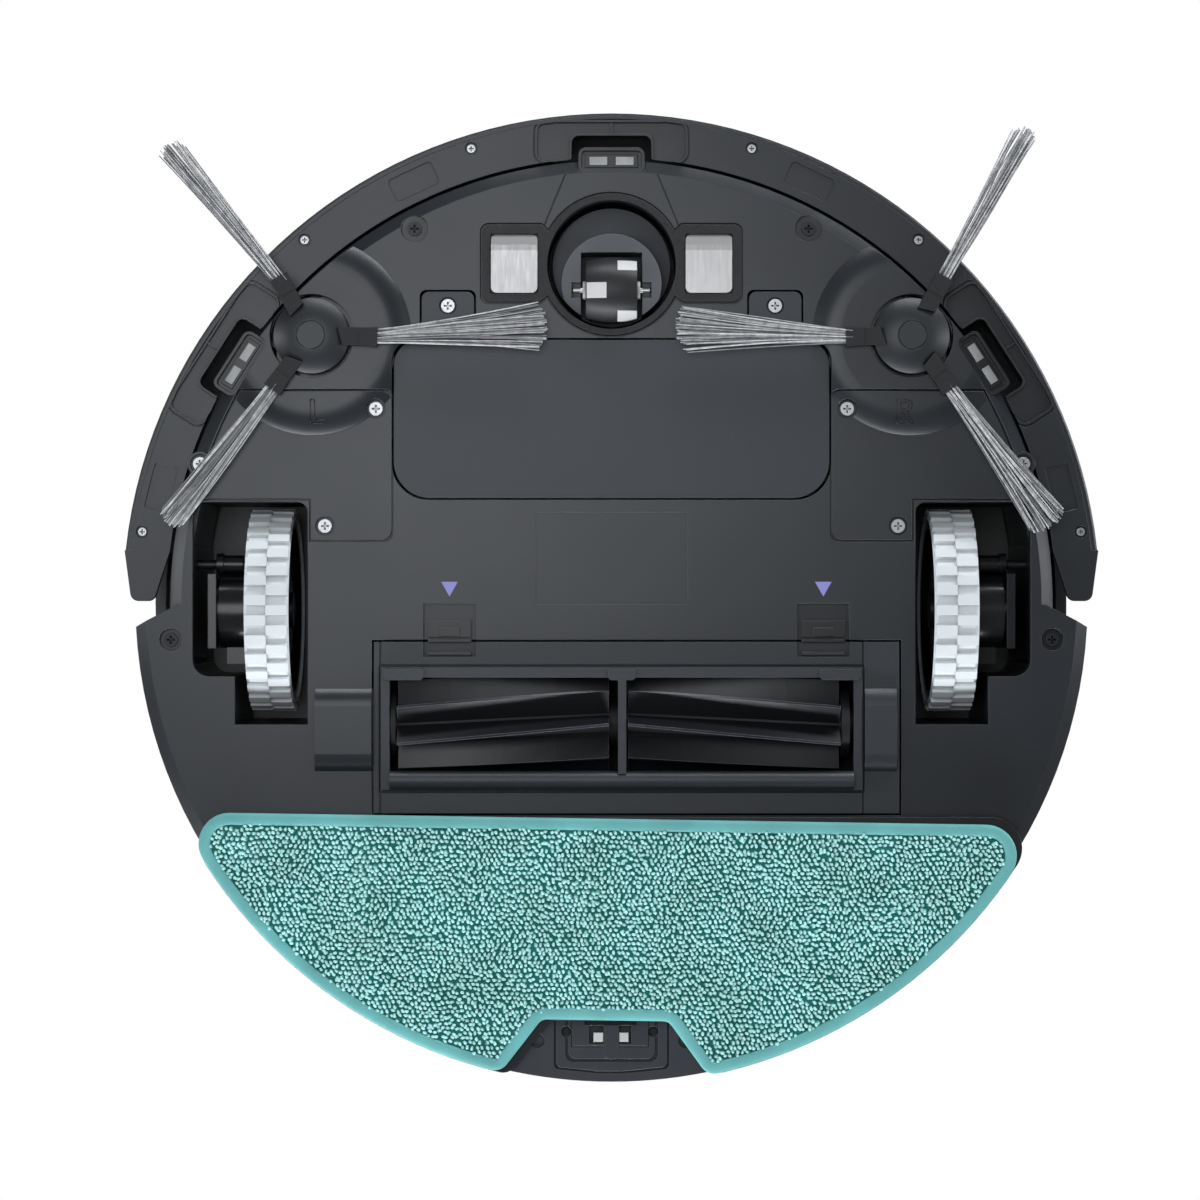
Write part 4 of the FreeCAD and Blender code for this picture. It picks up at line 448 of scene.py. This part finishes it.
def flat_outline(node, height):
    """The outer loop of a node's flat face at that height, as points in order, in metres."""
    mesh = bmesh.new()
    mesh.from_mesh(NODES[node].data)
    bmesh.ops.remove_doubles(mesh, verts=mesh.verts, dist=0.002 * MM)
    level = [f for f in mesh.faces if all(abs(v.co.z - height) < 0.01 * MM for v in f.verts)]
    held = set(level)
    rim = [e for e in mesh.edges if sum(f in held for f in e.link_faces) == 1]
    beside = {}
    for edge in rim:
        first, second = edge.verts
        beside.setdefault(first, []).append(second)
        beside.setdefault(second, []).append(first)
    start = rim[0].verts[0]
    loop = [start]
    previous, current = start, beside[start][0]
    while current is not start:
        loop.append(current)
        onward = [v for v in beside[current] if v is not previous]
        previous, current = current, onward[0]
    points = [Vector((v.co.x, v.co.y)) for v in loop]
    mesh.free()
    return points


def evened(points, gap):
    """The closed loop again, with points gap apart along it, anticlockwise."""
    area = sum(a.x * b.y - b.x * a.y for a, b in zip(points, points[1:] + points[:1]))
    if area < 0:
        points = points[::-1]
    lengths = [(b - a).length for a, b in zip(points, points[1:] + points[:1])]
    total = sum(lengths)
    count = round(total / gap)
    made = []
    index, passed = 0, 0.0
    for step in range(count):
        wanted = total * step / count
        while passed + lengths[index] < wanted:
            passed += lengths[index]
            index += 1
        share = (wanted - passed) / lengths[index]
        made.append(points[index].lerp(points[(index + 1) % len(points)], share))
    return made


def inward(points, reach=3):
    """The direction into the loop at each of its points."""
    count = len(points)
    made = []
    for index in range(count):
        along = (points[(index + reach) % count] - points[index - reach]).normalized()
        made.append(Vector((-along.y, along.x)))
    return made


def inside(point, loop):
    """Whether a point is inside a closed loop."""
    within = False
    for a, b in zip(loop, loop[1:] + loop[:1]):
        if (a.y > point.y) != (b.y > point.y):
            if point.x < a.x + (b.x - a.x) * (point.y - a.y) / (b.y - a.y):
                within = not within
    return within


cloth_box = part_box("mop_cloth")
edge_loop = evened(flat_outline("mop_cloth", cloth_box[0].z), 1.0 * MM)
into = inward(edge_loop)
TAPE_WIDTH = 4.3
TAPE_INSIDE = 1.2
# The tape's ribs and slow puckers: their height and length in millimetres.
RIB, RIB_PITCH = 0.05, 2.5
PUCKER, PUCKER_SIZE = 0.12, 6
# The tape's section: how far in from the edge, and how high above the floor, in millimetres.
TAPE_SECTION = ((2.2, 4.3), (0.7, 4.1), (0.1, 3.3), (0.0, 2.3), (0.25, 1.4), (0.9, 0.85), (1.9, 0.65),
                (2.9, 0.6), (3.7, 0.75), (4.15, 1.1), (4.3, 1.8), (4.2, 2.6), (3.6, 4.2))

tape = bmesh.new()
tape_rings = []
for index, (point, way) in enumerate(zip(edge_loop, into)):
    rib = RIB * math.sin(math.tau * index / RIB_PITCH)
    pucker = PUCKER * noise.noise(Vector((point.x, point.y, 0)) / (PUCKER_SIZE * MM))
    ring = []
    for depth, height in TAPE_SECTION:
        spot = point + way * (depth * MM)
        lift = (rib + pucker) if height < 2 else 0
        ring.append(tape.verts.new((spot.x, spot.y, (height + lift) * MM)))
    tape_rings.append(ring)
for ring, following in zip(tape_rings, tape_rings[1:] + tape_rings[:1]):
    for step in range(len(TAPE_SECTION)):
        after = (step + 1) % len(TAPE_SECTION)
        tape.faces.new((ring[step], ring[after], following[after], following[step]))
binding = piece("mop_binding", tape, "binding", "mop")

BACK_LOW = 2.5
BACK_HIGH = 4.3
backing = bmesh.new()
inner_loop = [point + way * (TAPE_INSIDE * MM) for point, way in zip(edge_loop, into)][::4]
low = [backing.verts.new((p.x, p.y, BACK_LOW * MM)) for p in inner_loop]
high = [backing.verts.new((p.x, p.y, BACK_HIGH * MM)) for p in inner_loop]
backing.faces.new(low[::-1])
backing.faces.new(high)
for index in range(len(low)):
    following = (index + 1) % len(low)
    backing.faces.new((low[index], low[following], high[following], high[index]))
bmesh.ops.triangulate(backing, faces=backing.faces)
cloth = piece("mop_cloth_backing", backing, "backing", "mop", smooth=False)
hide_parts("mop_cloth")

LOOP_PITCH = 1.75
ROW_PITCH = LOOP_PITCH * 0.9
LOOP_STEPS = 6
LOOP_ROOT = 2.9
YARN = 0.54
MIDDLE_HALF = 48
# How large the patches are in which rows drift, loops face one way and loops lean one way.
DRIFT_PATCH, FACING_PATCH, LEAN_PATCH = 14, 13, 16


def terry_loop(spot, facing, lean, span, rise):
    """An arch of yarn whose feet are at the backing and whose top is nearest the floor."""
    across = Vector((math.cos(facing), math.sin(facing)))
    tipped = Vector((-across.y, across.x)) * lean * 0.7
    points = []
    for step in range(LOOP_STEPS + 1):
        share = step / LOOP_STEPS
        swing = math.cos(math.pi * share)
        raised = math.sin(math.pi * share)
        ground = spot + across * span * swing * (0.8 + 0.45 * raised) + tipped * raised
        points.append(Vector((ground.x, ground.y, LOOP_ROOT - rise * raised)) * MM)
    return points


pile_edge = [point + way * ((TAPE_WIDTH - 0.2) * MM) for point, way in zip(edge_loop, into)][::6]
# Terry loops: arches of yarn that lean the way their patch of the cloth was last brushed.
pile_parts = {"left": bmesh.new(), "middle": bmesh.new(), "right": bmesh.new()}
draw = random.Random(5)
low_x, high_x = cloth_box[0].x / MM, cloth_box[1].x / MM
low_y, high_y = cloth_box[0].y / MM, cloth_box[1].y / MM
row = 0
y = low_y
while y < high_y:
    x = low_x + (LOOP_PITCH / 2 if row % 2 else 0)
    while x < high_x:
        spot = Vector((x + draw.gauss(0, 0.22), y + draw.gauss(0, 0.22)))
        spot.y += 0.8 * noise.noise(Vector((x / DRIFT_PATCH, y / DRIFT_PATCH, 3)))
        facing = 0.9 + 1.5 * noise.noise(Vector((x / FACING_PATCH, y / FACING_PATCH, 0)))
        facing += draw.gauss(0, 0.45)
        lean = 1.6 * noise.noise(Vector((x / LEAN_PATCH, y / LEAN_PATCH, 9))) + draw.gauss(0, 0.3)
        span = draw.uniform(0.30, 0.52)
        rise = draw.uniform(1.6, 2.2)
        x += LOOP_PITCH
        if not inside(spot * MM, pile_edge):
            continue
        points = terry_loop(spot, facing, lean, span, rise)
        part = "left" if spot.x > MIDDLE_HALF else "right" if spot.x < -MIDDLE_HALF else "middle"
        tube(pile_parts[part], points, [YARN * MM] * len(points), 5, cap=False)
    y += ROW_PITCH
    row += 1
pile = [piece(f"mop_pile_{part}", mesh, "pile", "mop") for part, mesh in pile_parts.items()]


# ---------------------------------------------------------------- studio

def floor():
    """A pale floor that is only there from above, so that the underside can be seen through it."""
    mesh = bmesh.new()
    bmesh.ops.create_circle(mesh, cap_ends=True, segments=96, radius=4.0)
    data = bpy.data.meshes.new("floor")
    mesh.to_mesh(data)
    mesh.free()
    thing = bpy.data.objects.new("floor", data)
    bpy.context.scene.collection.objects.link(thing)
    material, tree, shader, where = new_material("floor_paint")
    tone = blend_colours(tree, speckle(tree, where, 300, detail=4), (0.80, 0.80, 0.79), (0.84, 0.84, 0.83))
    tree.links.new(tone, shader.inputs["Base Color"])
    shader.inputs["Roughness"].default_value = 0.6
    clear = add(tree, "ShaderNodeBsdfTransparent")
    behind = add(tree, "ShaderNodeNewGeometry").outputs["Backfacing"]
    mix = add(tree, "ShaderNodeMixShader", {0: behind, 1: shader.outputs[0], 2: clear.outputs[0]})
    tree.links.new(mix.outputs[0], tree.nodes["Material Output"].inputs["Surface"])
    data.materials.append(material)
    thing.location.z = -0.3 * MM
    thing.visible_shadow = False
    thing.visible_diffuse = False
    thing.visible_glossy = False


def softbox(name, place, target, width, height, power, tint=(0.955, 0.985, 1.03)):
    lamp = bpy.data.lights.new(name, "AREA")
    lamp.shape = "RECTANGLE"
    lamp.size = width
    lamp.size_y = height
    lamp.energy = power
    lamp.color = tint
    thing = bpy.data.objects.new(name, lamp)
    bpy.context.scene.collection.objects.link(thing)
    thing.location = place
    thing.rotation_euler = (Vector(target) - Vector(place)).to_track_quat("-Z", "Y").to_euler()
    thing.visible_camera = False


def backdrop(seen, lit):
    """White behind the object, and a dimmer surround to light it."""
    world = bpy.data.worlds.new("studio")
    bpy.context.scene.world = world
    world.use_nodes = True
    tree = world.node_tree
    light = tree.nodes["Background"]
    light.inputs["Color"].default_value = (1, 1, 1, 1)
    light.inputs["Strength"].default_value = lit
    white = add(tree, "ShaderNodeBackground", {"Strength": seen})
    white.inputs["Color"].default_value = (1, 1, 1, 1)
    ray = add(tree, "ShaderNodeLightPath").outputs["Is Camera Ray"]
    mix = add(tree, "ShaderNodeMixShader", {0: ray, 1: light.outputs[0], 2: white.outputs[0]})
    tree.links.new(mix.outputs[0], tree.nodes["World Output"].inputs["Surface"])


floor()
backdrop(1.0, 0.17)
softbox("below_key", (0.115, 0.13, -0.75), (0, 0, 0), 0.44, 0.38, 1.5)
softbox("below_front", (-0.30, 1.15, -0.28), (0, 0.05, 0), 1.4, 0.22, 11)
softbox("below_rear", (0.20, -1.1, -0.28), (0, -0.05, 0), 1.3, 0.22, 14)
softbox("below_left", (1.15, 0.1, -0.30), (0, 0, 0), 0.30, 1.1, 4.5)
softbox("below_right", (-1.15, 0.1, -0.30), (0, 0, 0), 0.30, 1.1, 5)
softbox("above_key", (0.9, -1.0, 1.3), (0, 0, 0), 1.2, 1.2, 26)
softbox("above_fill", (-1.3, 0.7, 0.9), (0, 0, 0), 1.0, 1.0, 10)

# The photograph was taken from straight below, with the robot's front at the top of the picture.
lens = bpy.data.cameras.new("camera")
lens.sensor_width = 36
lens.lens = 102.9
camera = bpy.data.objects.new("camera", lens)
bpy.context.scene.collection.objects.link(camera)
camera.location = (0.0041, 0.0007, -1.21)
camera.rotation_euler = (0, math.pi, 0)
bpy.context.scene.camera = camera
bpy.context.scene.view_settings.view_transform = "Standard"
